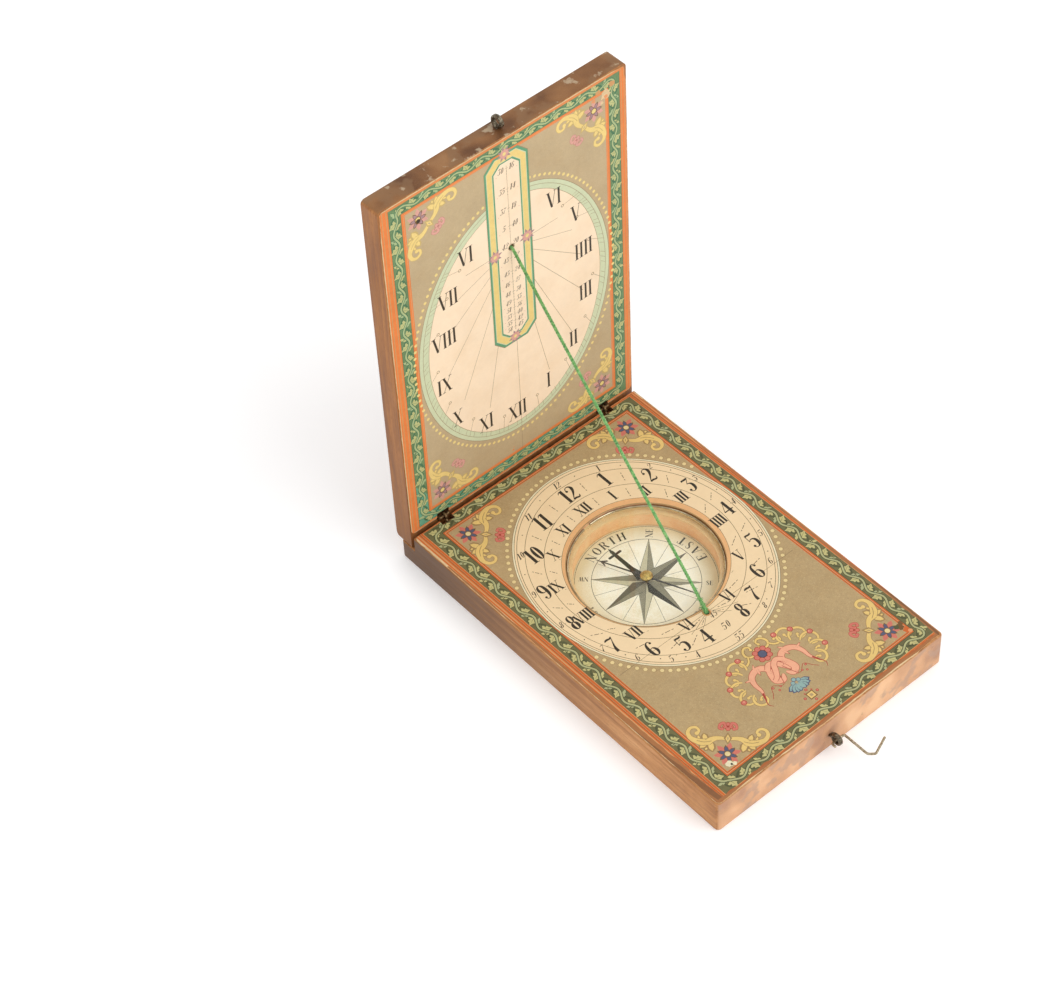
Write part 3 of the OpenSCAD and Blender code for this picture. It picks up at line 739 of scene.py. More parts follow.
def base_art():
    outline = sheet_edge(-37.2, -57.95, 37.2, 52.72, 1.2, 3, 0.07,
                         ((34, -58, 5, 0.5), (12, -58, 6, 0.28), (-20, -58, 7, 0.3), (-37.2, -50, 8, 0.22), (37.2, 20, 6, 0.2), (-37.2, 10, 9, 0.15)))
    art = Art(outline, [circle((WELL_X, WELL_Y), WELL_R + 0.02, 128), circle(FOOT, 0.75, 20),
                        box_poly(-HINGE_X - NOTCH, Y_HINGE - 1.6, -HINGE_X + NOTCH, 60), box_poly(HINGE_X - NOTCH, Y_HINGE - 1.6, HINGE_X + NOTCH, 60)])
    art.ground = "bare"
    fixed = len(art.v)
    # border: outer orange lines, green band with its vine, inner orange lines
    art.poly(box_poly(-34.9, -56.2, 35.3, 51.7), "shade")
    art.poly(box_poly(-34.75, -56.05, 35.15, 51.55), "green")
    vine(art, -33.0, -54.55, 33.45, 50.15, 1.75, 7.6, PAL, 11)
    band(art, (-37.0, -57.62, 37.1, 52.6), (-34.8, -56.1, 35.2, 51.6), "tan")
    band(art, (-36.85, -57.4, 36.95, 52.45), (-36.5, -57.2, 36.7, 52.3), "orange")
    band(art, (-36.1, -57.0, 36.4, 52.15), (-35.75, -56.8, 36.1, 52.0), "orange")
    band(art, (-35.5, -56.65, 35.85, 51.95), (-34.95, -56.25, 35.35, 51.7), "orange")
    band(art, (-35.75, -56.8, 36.1, 52.0), (-35.6, -56.7, 35.95, 51.98), "brown")
    art.poly(box_poly(-31.2, -52.9, 31.75, 48.7), "shade")
    art.poly(box_poly(-31.0, -52.7, 31.55, 48.5), "orange")
    art.poly(box_poly(-30.65, -52.35, 31.2, 48.2), "salmon")
    art.poly(box_poly(-30.45, -52.15, 31.0, 48.0), "brown")
    art.poly(box_poly(-30.35, -52.05, 30.9, 47.9), "orange")
    art.poly(box_poly(-30.05, -51.75, 30.6, 47.65), "ground")
    # corners
    for i, (c, su, sv) in enumerate((((-30.2, 47.8), 1, -1), ((30.8, 47.8), -1, -1), ((-30.2, -51.9), 1, 1), ((30.8, -51.9), -1, 1))):
        corner_piece(art, c, su, sv, PAL, i)
    # the border was printed a little askew, and trimmed square
    for i in range(fixed, len(art.v)):
        x, y = art.v[i]
        a, b = (x + 37.5) / 75, (y + 58) / 111
        dx = (1 - a) * (1 - b) * 0.9 + a * (1 - b) * 1.3 + (1 - a) * b * 0.2 - a * b * 0.3
        dy = -(1 - a) * (1 - b) * 0.9 + (1 - a) * b * 0.8 + a * b * 0.3
        art.v[i] = (x + dx, y + dy)
    # the dial's oval
    E = (0.6, 8.3)
    for i in range(108):
        a = 2 * pi * i / 108
        p = (E[0] + 32.15 * cos(a), E[1] + 37.2 * sin(a))
        if not -29.6 < p[0] < 30.3:
            continue
        art.disc(p, 0.66, "dim", 9)
        art.disc(p, 0.54, "dot", 9)
    art.poly(ellipse(E, 30.95, 36.0, 140), "brown")
    art.poly(ellipse(E, 30.85, 35.9, 140), "white")
    art.poly(ellipse(E, 30.45, 35.5, 140), "line")
    art.poly(ellipse(E, 30.32, 35.37, 140), "cream")
    for rx, ry, w in ((29.85, 34.6, 0.14), (28.4, 31.9, 0.13), (24.5, 25.75, 0.13)):
        c = (0.6, 8.3) if rx > 24.6 else (0.5, 8.35)
        art.ring(c, rx, ry, w, "line", 140)
    # hour lines out of the string's foot
    ring_in, ring_mid, ring_out = (24.5, 25.75), (28.4, 31.9), (29.85, 34.6)
    C0 = (0.6, 8.3)
    for phi, inner, outer in ((45, None, ring_in), (50, ring_in, ring_mid), (55, ring_mid, ring_out)):
        for k in range(-16, 17):
            h = k / 2
            a = hour_angle(h, phi)
            d = (sin(a), cos(a))
            t1 = hit_ellipse(FOOT, d, C0, *outer)
            if inner:
                t0 = hit_ellipse(FOOT, d, C0, *inner)
            else:
                # start at the compass ring, or a little way out of the foot
                u = (WELL_X - FOOT[0], WELL_Y - FOOT[1])
                b = u[0] * d[0] + u[1] * d[1]
                disc = b * b - (u[0] ** 2 + u[1] ** 2 - 21.3 ** 2)
                t0 = b + math.sqrt(disc) if disc > 0 and b > 0 else 1.0
            if t1 - t0 < 0.8:
                continue
            p = lambda t: (FOOT[0] + d[0] * t, FOOT[1] + d[1] * t)
            near_vi = abs(h) >= 5.5
            if k % 2 == 0:
                if phi == 45 and near_vi:
                    art.stroke([p(t0), p(t1)], 0.10, "line")
                elif phi == 45:
                    art.stroke([p(t0), p(t0 + 0.10 * (t1 - t0))], 0.10, "line")
                elif near_vi:
                    art.stroke([p(t0), p(t0 + 0.18 * (t1 - t0))], 0.10, "line")
                elif phi == 50:
                    art.stroke([p(t1 - 0.08 * (t1 - t0)), p(t1)], 0.09, "line")
            else:
                # half hours: three short dashes, or a dot in the narrow ring
                if phi == 55:
                    art.disc(p((t0 + t1) / 2), 0.17, "ink", 7)
                else:
                    m, g = (t0 + t1) / 2, min((t1 - t0) * 0.5, 3.4)
                    for q, ln in ((-0.42, 0.16), (0.0, 0.42), (0.42, 0.16)):
                        art.stroke([p(m + g * (q - ln / 2)), p(m + g * (q + ln / 2))], 0.16, "ink")
    for x0, x1 in ((-28.6, -21.0), (21.0, 29.4)):
        art.stroke([(x0, FOOT[1]), (x1, FOOT[1])], 0.09, "line")
    art.stroke([(-21, FOOT[1]), (21.4, FOOT[1])], 0.09, "line")
    # salmon band round the compass
    art.poly(circle((WELL_X + 0.52, WELL_Y + 0.58), 21.08, 128), "line")
    art.poly(circle((WELL_X + 0.52, WELL_Y + 0.58), 20.98, 128), "rim")
    art.poly(circle((WELL_X, WELL_Y), 20.12, 128), "dim")
    art.disc(FOOT, 1.15, "tan", 14)
    # numerals
    for t, x, y in (("12", .7, 41.7), ("1", 12.4, 39.3), ("2", 23.1, 31.2), ("3", 28.6, 19.8), ("4", 30.0, 7.3), ("5", 28.0, -5.2), ("6", 23.8, -13.9), ("7", 18.3, -19.7),
                    ("8", 12.2, -22.7), ("11", -11.8, 39.0), ("10", -22.1, 31.0), ("9", -28.1, 18.9), ("8", -29.2, 6.8), ("7", -27.2, -6.0), ("6", -22.6, -14.1),
                    ("5", -16.5, -19.9), ("4", -10.6, -22.9)):
        dx, dy = x - C0[0], y - C0[1]
        k = 1 / math.hypot(dx / 29.15, dy / 33.3)
        letters(art, t, (C0[0] + dx * k, C0[1] + dy * k), 1.95, "ink", slant=0.28, bold=0.8, track=0.04)
    for t, x, y in (("12", .9, 37.2), ("1", 10.9, 35.0), ("2", 20.2, 28.4), ("3", 25.4, 18.9), ("4", 26.9, 6.8), ("5", 24.3, -5.4), ("6", 18.3, -13.2), ("7", 12.6, -17.6),
                    ("8", 6.9, -19.7), ("4", -5.1, -19.7), ("5", -10.9, -17.6), ("6", -17.3, -13.7), ("7", -23.4, -6.3), ("8", -26.0, 5.4), ("9", -24.8, 17.5),
                    ("10", -18.7, 28.2), ("11", -10.1, 34.9)):
        letters(art, t, (x, y), 4.9, "ink", track=-0.02, bold=1.0)
    for t, x, y in (("XII", .2, 31.2), ("I", 8.8, 29.6), ("II", 15.9, 25.1), ("III", 21.2, 17.3), ("IIII", 22.6, 5.2), ("V", 18.4, -6.5), ("VI", 7.4, -13.9), ("VI", -6.2, -13.9),
                    ("VII", -17.3, -7.0), ("VIII", -22.7, 5.2), ("IX", -21.6, 16.8), ("X", -15.3, 24.9), ("XI", -8.0, 29.3)):
        letters(art, t, (x, y), 3.4, "ink", track=-0.08)
    letters(art, "55", (0.9, -25.1), 2.1, "ink", slant=0.28, bold=0.75, track=0.12)
    letters(art, "50", (0.9, -20.4), 2.1, "ink", slant=0.28, bold=0.75, track=0.12)
    letters(art, "45", (0.9, -15.9), 1.7, "ink", slant=0.28, bold=0.75, track=0.06)
    cartouche(art)
    # edges rubbed down to the wood and browned by handling
    rub(art, (-37.12, 40), (-37.12, -57.8), (1, 0), [0.4, 0.6, 0.5, 0.7, 0.8, 1.0, 1.3, 1.6, 1.9, 2.2], "rub", 1, 0.8, 1.15)
    rub(art, (-37.12, -26), (-37.12, -57.8), (1, 0), [0.0, 0.25, 0.5, 0.9, 1.3, 1.7, 2.0], "rub_dark", 2, 0.85, 1.12)
    rub(art, (-37.12, -50), (-37.12, -57.8), (1, 0), [0.1, 0.4, 0.9], "rub", 3, 0.85, 1.12)
    rub(art, (-37.1, -57.86), (37.1, -57.86), (0, 1), [1.2, 0.9, 1.3, 0.8, 1.1, 1.5, 1.0, 1.4, 1.6, 1.2, 1.5], "rust", 4)
    rub(art, (-37.1, -57.86), (37.1, -57.86), (0, 1), [0.9, 0.55, 0.8, 0.4, 0.7, 0.9, 0.6, 1.0, 1.1, 0.8, 1.2], "rub", 5)
    rub(art, (-34, -57.86), (30, -57.86), (0, 1), [0.0, 0.3, 0.15, 0.4, 0.2, 0.1, 0.35, 0.45, 0.2, 0.3, 0.0], "frayed", 6)
    rub(art, (37.05, -57.8), (37.05, 49), (-1, 0), [1.3, 1.0, 0.8, 0.9, 0.7, 0.5, 0.6, 0.4, 0.5, 0.3, 0.3], "rub", 7)
    rub(art, (37.05, -57.8), (37.05, -30), (-1, 0), [0.9, 0.6, 0.5, 0.3, 0.1], "rub_dark", 8)
    # lost paper near the front corners
    g = random.Random(5)
    for c, r, colour in (((-27.3, -51.2), 0.95, "white"), ((-26.2, -51.9), 0.6, "white"), ((-26.9, -51.6), 0.35, "ink"), ((31.4, -49.5), 1.05, "brown"),
                         ((30.6, -49.0), 0.8, "shade"), ((32.1, -48.8), 0.75, "brown"), ((31.9, -51.1), 0.95, "orange"), ((32.4, -51.9), 0.6, "salmon")):
        art.poly([(c[0] + r * g.uniform(0.65, 1.15) * cos(a), c[1] + r * g.uniform(0.65, 1.1) * sin(a)) for a in np.linspace(0, 2 * pi, 12)[:-1]], colour)
    return art


def cartouche(art):
    """Symmetric ornament in front of the dial: scrolls, berries, a flower, leaf scrolls and a small shell"""
    cx = 1.1
    for s in (-1, 1):
        def m(u, v):
            return (cx + s * u, v)
        scroll(art, [m(0.7, -30.6), m(1.4, -31.6), m(2.6, -31.9), m(3.6, -30.9), m(3.3, -29.5), m(2.2, -28.7), m(1.2, -29.2), m(1.3, -30.1)],
               [0.35, 0.5, 0.6, 0.6, 0.6, 0.6, 0.5, 0.45], "yellow", "brown", 0.4)
        scroll(art, [m(3.3, -31.3), m(4.3, -32.6), m(5.6, -33.0), m(6.4, -32.2), m(6.0, -31.2), m(5.2, -31.4)], [0.4, 0.55, 0.6, 0.6, 0.5, 0.4], "yellow", "brown", 0.38)
        for (x, y), a, k in (((7.9, -32.0), 0.15, 1.0), ((10.6, -34.0), -0.55, 1.0), ((12.0, -37.1), -1.15, 1.0), ((11.9, -40.4), -1.75, 0.95), ((9.9, -42.8), -2.35, 0.85)):
            loop = [(-2.0, -1.7), (-2.2, -0.2), (-1.4, 1.3), (0.2, 1.8), (1.6, 1.1), (1.9, -0.4), (1.0, -1.4), (0.0, -1.0), (0.0, -0.2)]
            pts = [m(x - cx * 0 + k * (u * cos(a) - v * sin(a)) - 0, y + k * (u * sin(a) + v * cos(a))) for u, v in loop]
            scroll(art, pts, [0.4, 0.55, 0.65, 0.65, 0.55, 0.5, 0.45, 0.4, 0.4], "yellow", "dim", 0.4, 6, 0.26)
        for x, y in ((6.0, -30.5), (10.2, -31.9), (13.3, -35.6), (13.5, -40.6)):
            art.disc(m(x, y), 0.80, "red", 10)
            art.disc(m(x, y), 0.62, "pink", 10)
            art.disc(m(x - 0.15, y + 0.18), 0.2, "flesh", 7)
        # leaf scroll in flesh colour
        scroll(art, [m(0.5, -40.6), m(1.6, -41.9), m(3.1, -41.0), m(2.9, -39.1), m(2.4, -37.3), m(3.4, -35.9), m(5.3, -35.6), m(7.1, -36.6), m(7.9, -38.6), m(8.0, -41.0), m(8.9, -43.2)],
               [0.5, 1.5, 1.9, 1.7, 1.5, 1.6, 1.6, 1.4, 1.1, 0.7, 0.2], "flesh", "red", 0.0, 7, 0.24)
        scroll(art, [m(2.6, -37.4), m(1.3, -36.3), m(-0.2, -37.0), m(-1.2, -38.7), m(-2.3, -40.3), m(-3.4, -40.9)], [1.3, 1.3, 1.35, 1.35, 1.2, 1.0], "flesh", "red", 0.0, 7, 0.24)
        for (x, y), a, l in (((5.0, -35.1), 2.2, 1.5), ((3.0, -38.2), 3.4, 1.5), ((7.4, -37.0), 0.3, 1.7), ((2.6, -41.6), -1.9, 1.4), ((4.3, -35.4), -1.3, 1.9)):
            q = a if s > 0 else pi - a
            art.poly(place(POINTED, m(x, y), q, 1, l * 1.15), "red")
            art.poly(place(POINTED, m(x, y), q, 1, l), "flesh")
        art.stroke(smooth([m(0.9, -38.6), m(2.6, -43.0), m(5.2, -41.6), m(6.6, -43.5), m(7.6, -44.6)], 6), 0.16, "red")
        art.stroke(smooth([m(8.2, -41.6), m(9.0, -43.4), m(9.6, -44.9), m(9.0, -46.2)], 5), [*np.linspace(0.4, 0.12, 16)], "red")
        for x, y in ((3.6, -42.9), (5.4, -42.2), (4.6, -43.6)):
            art.disc(m(x, y), 0.34, "red", 8)
            art.disc(m(x, y), 0.22, "pink", 7)
        # shell
        for a, l in ((0.1, 3.1), (0.45, 2.9), (0.85, 2.5), (1.25, 2.2)):
            q = -a if s > 0 else pi + a
            art.poly(place(PETAL, m(0.1, -45.2), q, 1, l * 1.08), "blue")
            art.poly(place(PETAL, m(0.1, -45.2), q, 1, l * 0.94), "sky")
        art.disc(m(0.9, -44.3), 0.62, "blue", 9)
        art.disc(m(0.9, -44.3), 0.5, "sky", 9)
    art.disc((cx, -43.6), 0.66, "blue", 10)
    art.disc((cx, -43.6), 0.5, "sky", 10)
    for k in range(8):
        a = 2 * pi * k / 8
        art.disc((cx + 1.75 * cos(a), -32.9 + 1.75 * sin(a)), 0.84, "red", 9)
    for k in range(8):
        a = 2 * pi * k / 8
        art.disc((cx + 1.75 * cos(a), -32.9 + 1.75 * sin(a)), 0.66, "pink", 9)
    art.disc((cx, -32.9), 1.2, "ink", 12)
    art.disc((cx, -32.9), 1.05, "blue", 12)
    for q, w in (((1.35, 1.35), "brown"), ((1.05, 1.05), "yellow"), ((0.5, 0.5), "ground")):
        k = q[0] * 0.8
        art.poly([(cx - k, -49.7 - k), (cx + k, -49.7 - k), (cx + k, -49.7 + k), (cx - k, -49.7 + k)], w)
    for dx, dy in ((-2.0, 0.1), (2.0, 0.1), (0.0, 1.9), (0.0, -1.7), (-1.1, 1.2), (1.1, 1.2)):
        art.disc((cx + dx, -49.7 + dy), 0.42 if abs(dx) != 1.1 else 0.25, "red", 8)
        art.disc((cx + dx, -49.7 + dy), 0.27 if abs(dx) != 1.1 else 0.14, "pink", 7)


art_objects("base_print", base_art(), lambda a, b: (a, b, Z_TOP), (0, 0, 1), 0.15, "base", "base_paper", GROUPS)


# ---------------------------------------------------------------- the upper leaf's print
def lid_art():
    outline = sheet_edge(-37.2, 11.15, 37.2, 121.0, 1.2, 9, 0.06, ((37, 121, 5, 0.45), (-37, 118, 5, 0.3), (0, 121.2, 9, 0.15), (-37.2, 60, 14, 0.12)))
    art = Art(outline, [circle(HEAD, 0.75, 20), box_poly(-HINGE_X - NOTCH, 0, -HINGE_X + NOTCH, AX_Z + 1.6), box_poly(HINGE_X - NOTCH, 0, HINGE_X + NOTCH, AX_Z + 1.6)])
    art.ground = "bare"
    art.poly(box_poly(-34.7, 11.9, 35.4, 120.1), "lid_shade")
    art.poly(box_poly(-34.5, 12.1, 35.2, 119.9), "lid_green")
    art.poly([(-34.5, 12.1), (24.0, 12.1), (21.0, 15.3), (-31.0, 15.3), (-31.3, 22.0), (-34.5, 27.0)], "lid_aqua")
    vine(art, -32.85, 13.65, 33.4, 118.45, 1.7, 7.8, LPAL, 21)
    band(art, (-37.0, 11.3, 37.1, 120.75), (-34.65, 11.95, 35.3, 120.0), "lid_orange")
    band(art, (-36.5, 11.4, 36.8, 120.6), (-36.25, 11.45, 36.6, 120.5), "tan")
    band(art, (-35.3, 11.7, 35.9, 120.3), (-35.05, 11.8, 35.7, 120.2), "tan")
    art.poly(box_poly(-31.25, 15.2, 31.85, 117.15), "lid_shade")
    art.poly(box_poly(-31.1, 15.35, 31.7, 117.0), "lid_orange")
    art.poly(box_poly(-30.55, 15.95, 31.1, 116.5), "salmon")
    art.poly(box_poly(-30.35, 16.1, 30.95, 116.35), "lid_orange")
    art.poly(box_poly(-30.1, 16.35, 30.7, 116.1), "lid_ground")
    for i, (c, su, sv) in enumerate((((-30.2, 116.2), 1, -1), ((30.8, 116.2), -1, -1), ((-30.2, 16.3), 1, 1), ((30.8, 16.3), -1, 1))):
        corner_piece(art, c, su, sv, LPAL, 10 + i)
    E = (0.3, 63.9)
    for i in range(124):
        a = 2 * pi * i / 124
        art.disc((E[0] + 31.7 * cos(a), E[1] + 41.35 * sin(a)), 0.47, "lid_dot", 8)
    art.poly(ellipse(E, 30.4, 40.0, 150), "lid_line")
    art.poly(ellipse(E, 30.25, 39.85, 150), "lid_ring")
    art.poly(ellipse(E, 29.2, 38.8, 150), "lid_line")
    art.poly(ellipse(E, 29.08, 38.68, 150), "lid_ring")
    art.poly(ellipse(E, 27.4, 37.45, 150), "lid_line")
    art.poly(ellipse(E, 27.28, 37.33, 150), "lid_cream")
    for k in range(-13, 14):
        h = k / 2
        a = hour_angle(h, 48.5)
        d = (sin(a), -cos(a))
        t1 = hit_ellipse(HEAD, d, E, 29.1, 38.7)
        p = lambda t: (HEAD[0] + d[0] * t, HEAD[1] + d[1] * t)
        if k % 2 == 0 and abs(k) <= 12:
            far = t1 - (0 if k == 0 else 9.3)
            art.stroke([p(1), p(far)], 0.11, "lid_line")
            art.stroke([p(t1 - 2.0), p(t1)], 0.10, "lid_line")
        elif k % 2:
            a0 = t1 - 5.4
            art.disc(p(a0), 0.48, "lid_line", 8)
            art.disc(p(a0), 0.30, "lid_cream", 7)
            art.stroke([p(a0 + 0.45), p(t1)], 0.10, "lid_line")
        for q in (-0.25, 0.25):
            b = hour_angle(h + q * 0.5, 48.5)
            e = (sin(b), -cos(b))
            t = hit_ellipse(HEAD, e, E, 29.1, 38.7)
            art.stroke([(HEAD[0] + e[0] * (t - 1.8), HEAD[1] + e[1] * (t - 1.8)), (HEAD[0] + e[0] * t, HEAD[1] + e[1] * t)], 0.09, "lid_line")
    art.stroke([(0.05, 26.5), (-0.2, 11.5)], 0.11, "lid_line")
    for t, x, y in (("VI", -13.7, 92.4), ("VII", -19.8, 82.4), ("VIII", -21.9, 70.0), ("IX", -23.0, 55.3), ("X", -19.8, 41.6), ("XI", -11.1, 33.4), ("XII", -1.0, 30.6),
                    ("I", 9.5, 34.1), ("II", 18.2, 43.0), ("III", 22.7, 56.7), ("IIII", 22.5, 71.2), ("V", 20.4, 84.3), ("VI", 13.8, 93.4)):
        letters(art, t, (x, y), 5.1, "lid_ink", track=-0.01, face=LIGHT)
    # the scale strip above the dial, with cut corners
    x0, x1, z0, z1 = -6.75, 6.55, 54.9, 116.4

    def strip(inset, cut, colour):
        a, b, c, d = x0 + inset, x1 - inset, z0 + inset, z1 - inset
        art.poly([(a + cut, c), (b - cut, c), (b, c + cut), (b, d - cut), (b - cut, d), (a + cut, d), (a, d - cut), (a, c + cut)], colour)

    strip(-0.12, 3.0, "lid_line")
    strip(0.0, 3.0, "lid_teal")
    strip(0.55, 2.85, "lid_ring")
    strip(0.72, 2.8, "lid_yellow")
    strip(2.25, 2.3, "lid_ring")
    strip(2.4, 2.2, "lid_teal")
    strip(2.8, 2.1, "lid_cream")
    art.stroke([(-0.05, z0 + 4), (-0.05, z1 - 4)], 0.10, "lid_line")
    g = random.Random(4)
    for z, left, right in ((111.6, "30", "16"), (105.2, "35", "14"), (99.0, "37", "18"), (93.4, "5", "40"), (87.6, "42", "20"), (83.0, "43", "22"), (78.6, "45", "24"), (75.0, "46", "27"),
                           (71.8, "48", "30"), (68.9, "49", "33"), (66.4, "51", "36"), (64.1, "53", "40"), (61.9, "55", "42"), (59.8, "58", "45")):
        size = 1.7 if z > 85 else 1.45
        letters(art, left, (-1.75, z), size, "lid_ink", slant=0.25, bold=0.75, track=0.02, per=2)
        letters(art, right, (1.6, z), size, "lid_ink", slant=0.25, bold=0.75, track=0.02, per=2)
        art.stroke([(-0.55, z), (0.45, z)], 0.09, "lid_line")
        for dx in (-3.2, 3.1):
            art.disc((dx, z - 1.2), 0.13, "lid_pink", 6)
        for j in (1, 2):
            art.disc((-0.05, z - j * 0.9), 0.11, "lid_ink", 6)
    for c, r in (((-5.0, 86.2), 2.0), ((5.1, 86.9), 2.1), ((-0.4, 116.2), 2.0), ((-0.3, 56.6), 1.9)):
        for k in range(8):
            a = 2 * pi * k / 8 + 0.2
            art.poly(place(POINTED, c, a, 1, r * 1.15), "lid_violet")
        for k in range(8):
            a = 2 * pi * k / 8 + 0.2 + pi / 8
            art.poly(place(PETAL, c, a, 1, r * 0.78), "lid_pink")
        art.disc(c, r * 0.26, "lid_dot", 9)
    # wear: a pin hole at the upper left, lost paper at the upper right, rubbed spots
    art.disc((-26.5, 111.9), 0.75, "brown", 10)
    art.disc((-26.4, 111.9), 0.5, "ink", 10)
    for c, r, colour in (((30.8, 115.6), 1.8, "bare"), ((28.6, 117.2), 0.9, "tan"), ((32.8, 117.6), 1.1, "tan"), ((29.6, 113.4), 0.6, "bare"), ((27.2, 115.5), 0.8, "salmon"),
                         ((31.0, 114.8), 0.7, "salmon"), ((-3.2, 17.3), 0.35, "lid_orange"), ((-2.9, 18.1), 0.2, "lid_orange")):
        art.poly([(c[0] + r * g.uniform(0.5, 1.15) * cos(a), c[1] + r * g.uniform(0.5, 1.1) * sin(a)) for a in np.linspace(0, 2 * pi, 14)[:-1]], colour)
    art.disc(HEAD, 1.0, "lid_line", 14)
    return art


art_objects("lid_print", lid_art(), lambda a, b: (a, LID_Y0, b), (0, -1, 0), 0.15, "lid", "lid_paper", GROUPS)

# ---------------------------------------------------------------- the compass card
def card_paper():
    """White paper, with painted shade towards the rim where the well's wall shades the card"""
    s = Shade("print_card", col(255, 252, 240), 0.7, Specular_IOR_Level=0.3)
    x, y, _ = s.xyz()
    dx, dy = s.math("SUBTRACT", x, WELL_X), s.math("SUBTRACT", y, WELL_Y)
    r = s.math("SQRT", s.math("ADD", s.math("MULTIPLY", dx, dx), s.math("MULTIPLY", dy, dy)))
    blotch, fibre = s.noise(0.12, 4, 0.6), s.noise(2.2, 3, 0.6)
    c = s.ramp(s.math("ADD", s.math("MULTIPLY", blotch, 0.7), s.math("MULTIPLY", fibre, 0.3)), [(0.36, col(240, 230, 200)), (0.50, col(255, 250, 234)), (0.66, col(255, 254, 246))])
    # painted shade: the card darkens to an olive tan towards its rim, where the well's wall shades it
    rim = s.range(s.math("ADD", r, s.math("MULTIPLY", s.math("SUBTRACT", blotch, 0.5), 9.0)), 11.5, 18.4)
    c = s.mix(s.math("MULTIPLY", rim, 0.72), c, col(206, 188, 132))
    s.put("Base Color", c)
    s.put("Normal", s.bump(fibre, 0.03, 0.7))
    return s.m


M["card"] = card_paper()
M["card_line"] = printed("print_card_line", col(96, 88, 66), 0.05, 0.1, 0.1, 0, 0.66)
M["card_dark"] = printed("print_card_dark", col(62, 60, 50), 0.05, 0.25, 0.3, 0, 0.62)
M["card_ray"] = printed("print_card_ray", col(108, 104, 90), 0.05, 0.25, 0.3, 0, 0.62)
M["card_mid"] = printed("print_card_mid", col(146, 142, 122), 0.05, 0.25, 0.3, 0, 0.62)
M["card_light"] = printed("print_card_light", col(202, 196, 168), 0.05, 0.15, 0.2, 0, 0.62)
CARD_GROUPS = {"card_line": "ink", "card_dark": "ink", "card_ray": "grey", "card_mid": "grey", "card_light": "grey", "card": "ground"}


def card_art():
    art = Art(circle((0, 0), 18.38, 128), [circle((0, 0), 0.46, 20)])
    art.ground = "card"
    art.ring((0, 0), 18.0, 18.0, 0.12, "card_line", 120)
    art.ring((0, 0), 13.8, 13.8, 0.14, "card_line", 110)

    def ray(a, length, half, light, dark, base):
        """A compass point, its left half light and its right half dark"""
        d, n = (sin(a), cos(a)), (cos(a), -sin(a))
        tip = (d[0] * length, d[1] * length)
        shoulder = [(d[0] * base + s * n[0] * half, d[1] * base + s * n[1] * half) for s in (-1, 1)]
        art.poly([(0, 0), shoulder[0], tip], light)
        art.poly([(0, 0), tip, shoulder[1]], dark)
        art.stroke([shoulder[0], tip], 0.10, "card_dark")
        art.stroke([(0, 0), tip], 0.08, "card_dark")

    for k in range(8):
        a = pi / 8 + k * pi / 4
        art.stroke([(sin(a) * 2, cos(a) * 2), (sin(a) * 13.7, cos(a) * 13.7)], 0.09, "card_line")
    for k in (1, 3, 5, 7):
        ray(k * pi / 4, 13.9, 1.9, "card_light", "card_mid", 3.4)
    for k in (1, 2, 3):
        ray(k * pi / 2, 13.7, 2.0, "card_mid", "card_dark" if k == 2 else "card_ray", 2.9)
    # the north point as a dark blade with a cross-guard
    art.poly([(-1.5, 1.6), (-0.62, 5.6), (-0.52, 11.4), (0.52, 11.4), (0.62, 5.6), (1.5, 1.6)], "card_dark")
    art.poly([(-0.5, 11.2), (-0.5, 12.9), (0, 14.5), (0.5, 12.9), (0.5, 11.2)], "card_dark")
    art.poly([(-1.95, 11.4), (-2.15, 11.75), (-1.95, 12.1), (1.95, 12.1), (2.15, 11.75), (1.95, 11.4)], "card_dark")
    for word, a, way, rad in (("NORTH", 0, 1, 15.9), ("EAST", 90, -1, 15.9), ("SOUTH", 180, 1, 16.6), ("WEST", 270, 1, 16.6)):
        size, gap = (2.55, 0.55) if rad < 16 else (1.95, 0.35)
        total = sum(GLYPH[c][0] for c in word) * size + gap * (len(word) - 1)
        x = -total / 2
        for ch in word:
            w = GLYPH[ch][0] * size
            t = math.radians(a) + way * (x + w / 2) / rad
            letters(art, ch, (rad * sin(t), rad * cos(t)), size, "card_dark", turn=-t + (0 if way > 0 else pi), bold=0.95)
            x += w + gap
    for word, a in (("NE", 45), ("SE", 135), ("SW", 225), ("NW", 315)):
        t = math.radians(a)
        letters(art, word, (15.8 * sin(t), 15.8 * cos(t)), 1.85 if word == "NE" else 1.35, "card_dark", turn=-t + pi / 2, bold=1.0)
    return art


art_objects("card_print", card_art(), lambda a, b: (WELL_X + a, WELL_Y + b, CARD_Z), (0, 0, 1), 0.3, "base", "compass_card", CARD_GROUPS)


# ---------------------------------------------------------------- wires, string and knots
def unit(v):
    return v / max(np.linalg.norm(v), 1e-12)


def fillet(points, r, n=6):
    """The line with each inner corner rounded"""
    p = [np.array(q, float) for q in points]
    out = [p[0]]
    for i in range(1, len(p) - 1):
        a, b = unit(p[i - 1] - p[i]), unit(p[i + 1] - p[i])
        k = min(r, 0.45 * np.linalg.norm(p[i - 1] - p[i]), 0.45 * np.linalg.norm(p[i + 1] - p[i]))
        s, e = p[i] + a * k, p[i] + b * k
        for t in np.linspace(0, 1, n):
            out.append((1 - t) ** 2 * s + 2 * t * (1 - t) * p[i] + t * t * e)
    out.append(p[-1])
    return np.array(out)


def resample(p, step):
    d = np.concatenate([[0], np.cumsum(np.linalg.norm(np.diff(p, axis=0), axis=1))])
    keep = np.concatenate([[True], np.diff(d) > 1e-9])
    p, d = p[keep], d[keep]
    n = max(int(round(d[-1] / step)), 2)
    t = np.linspace(0, d[-1], n + 1)
    return np.stack([np.interp(t, d, p[:, k]) for k in range(3)], 1), t


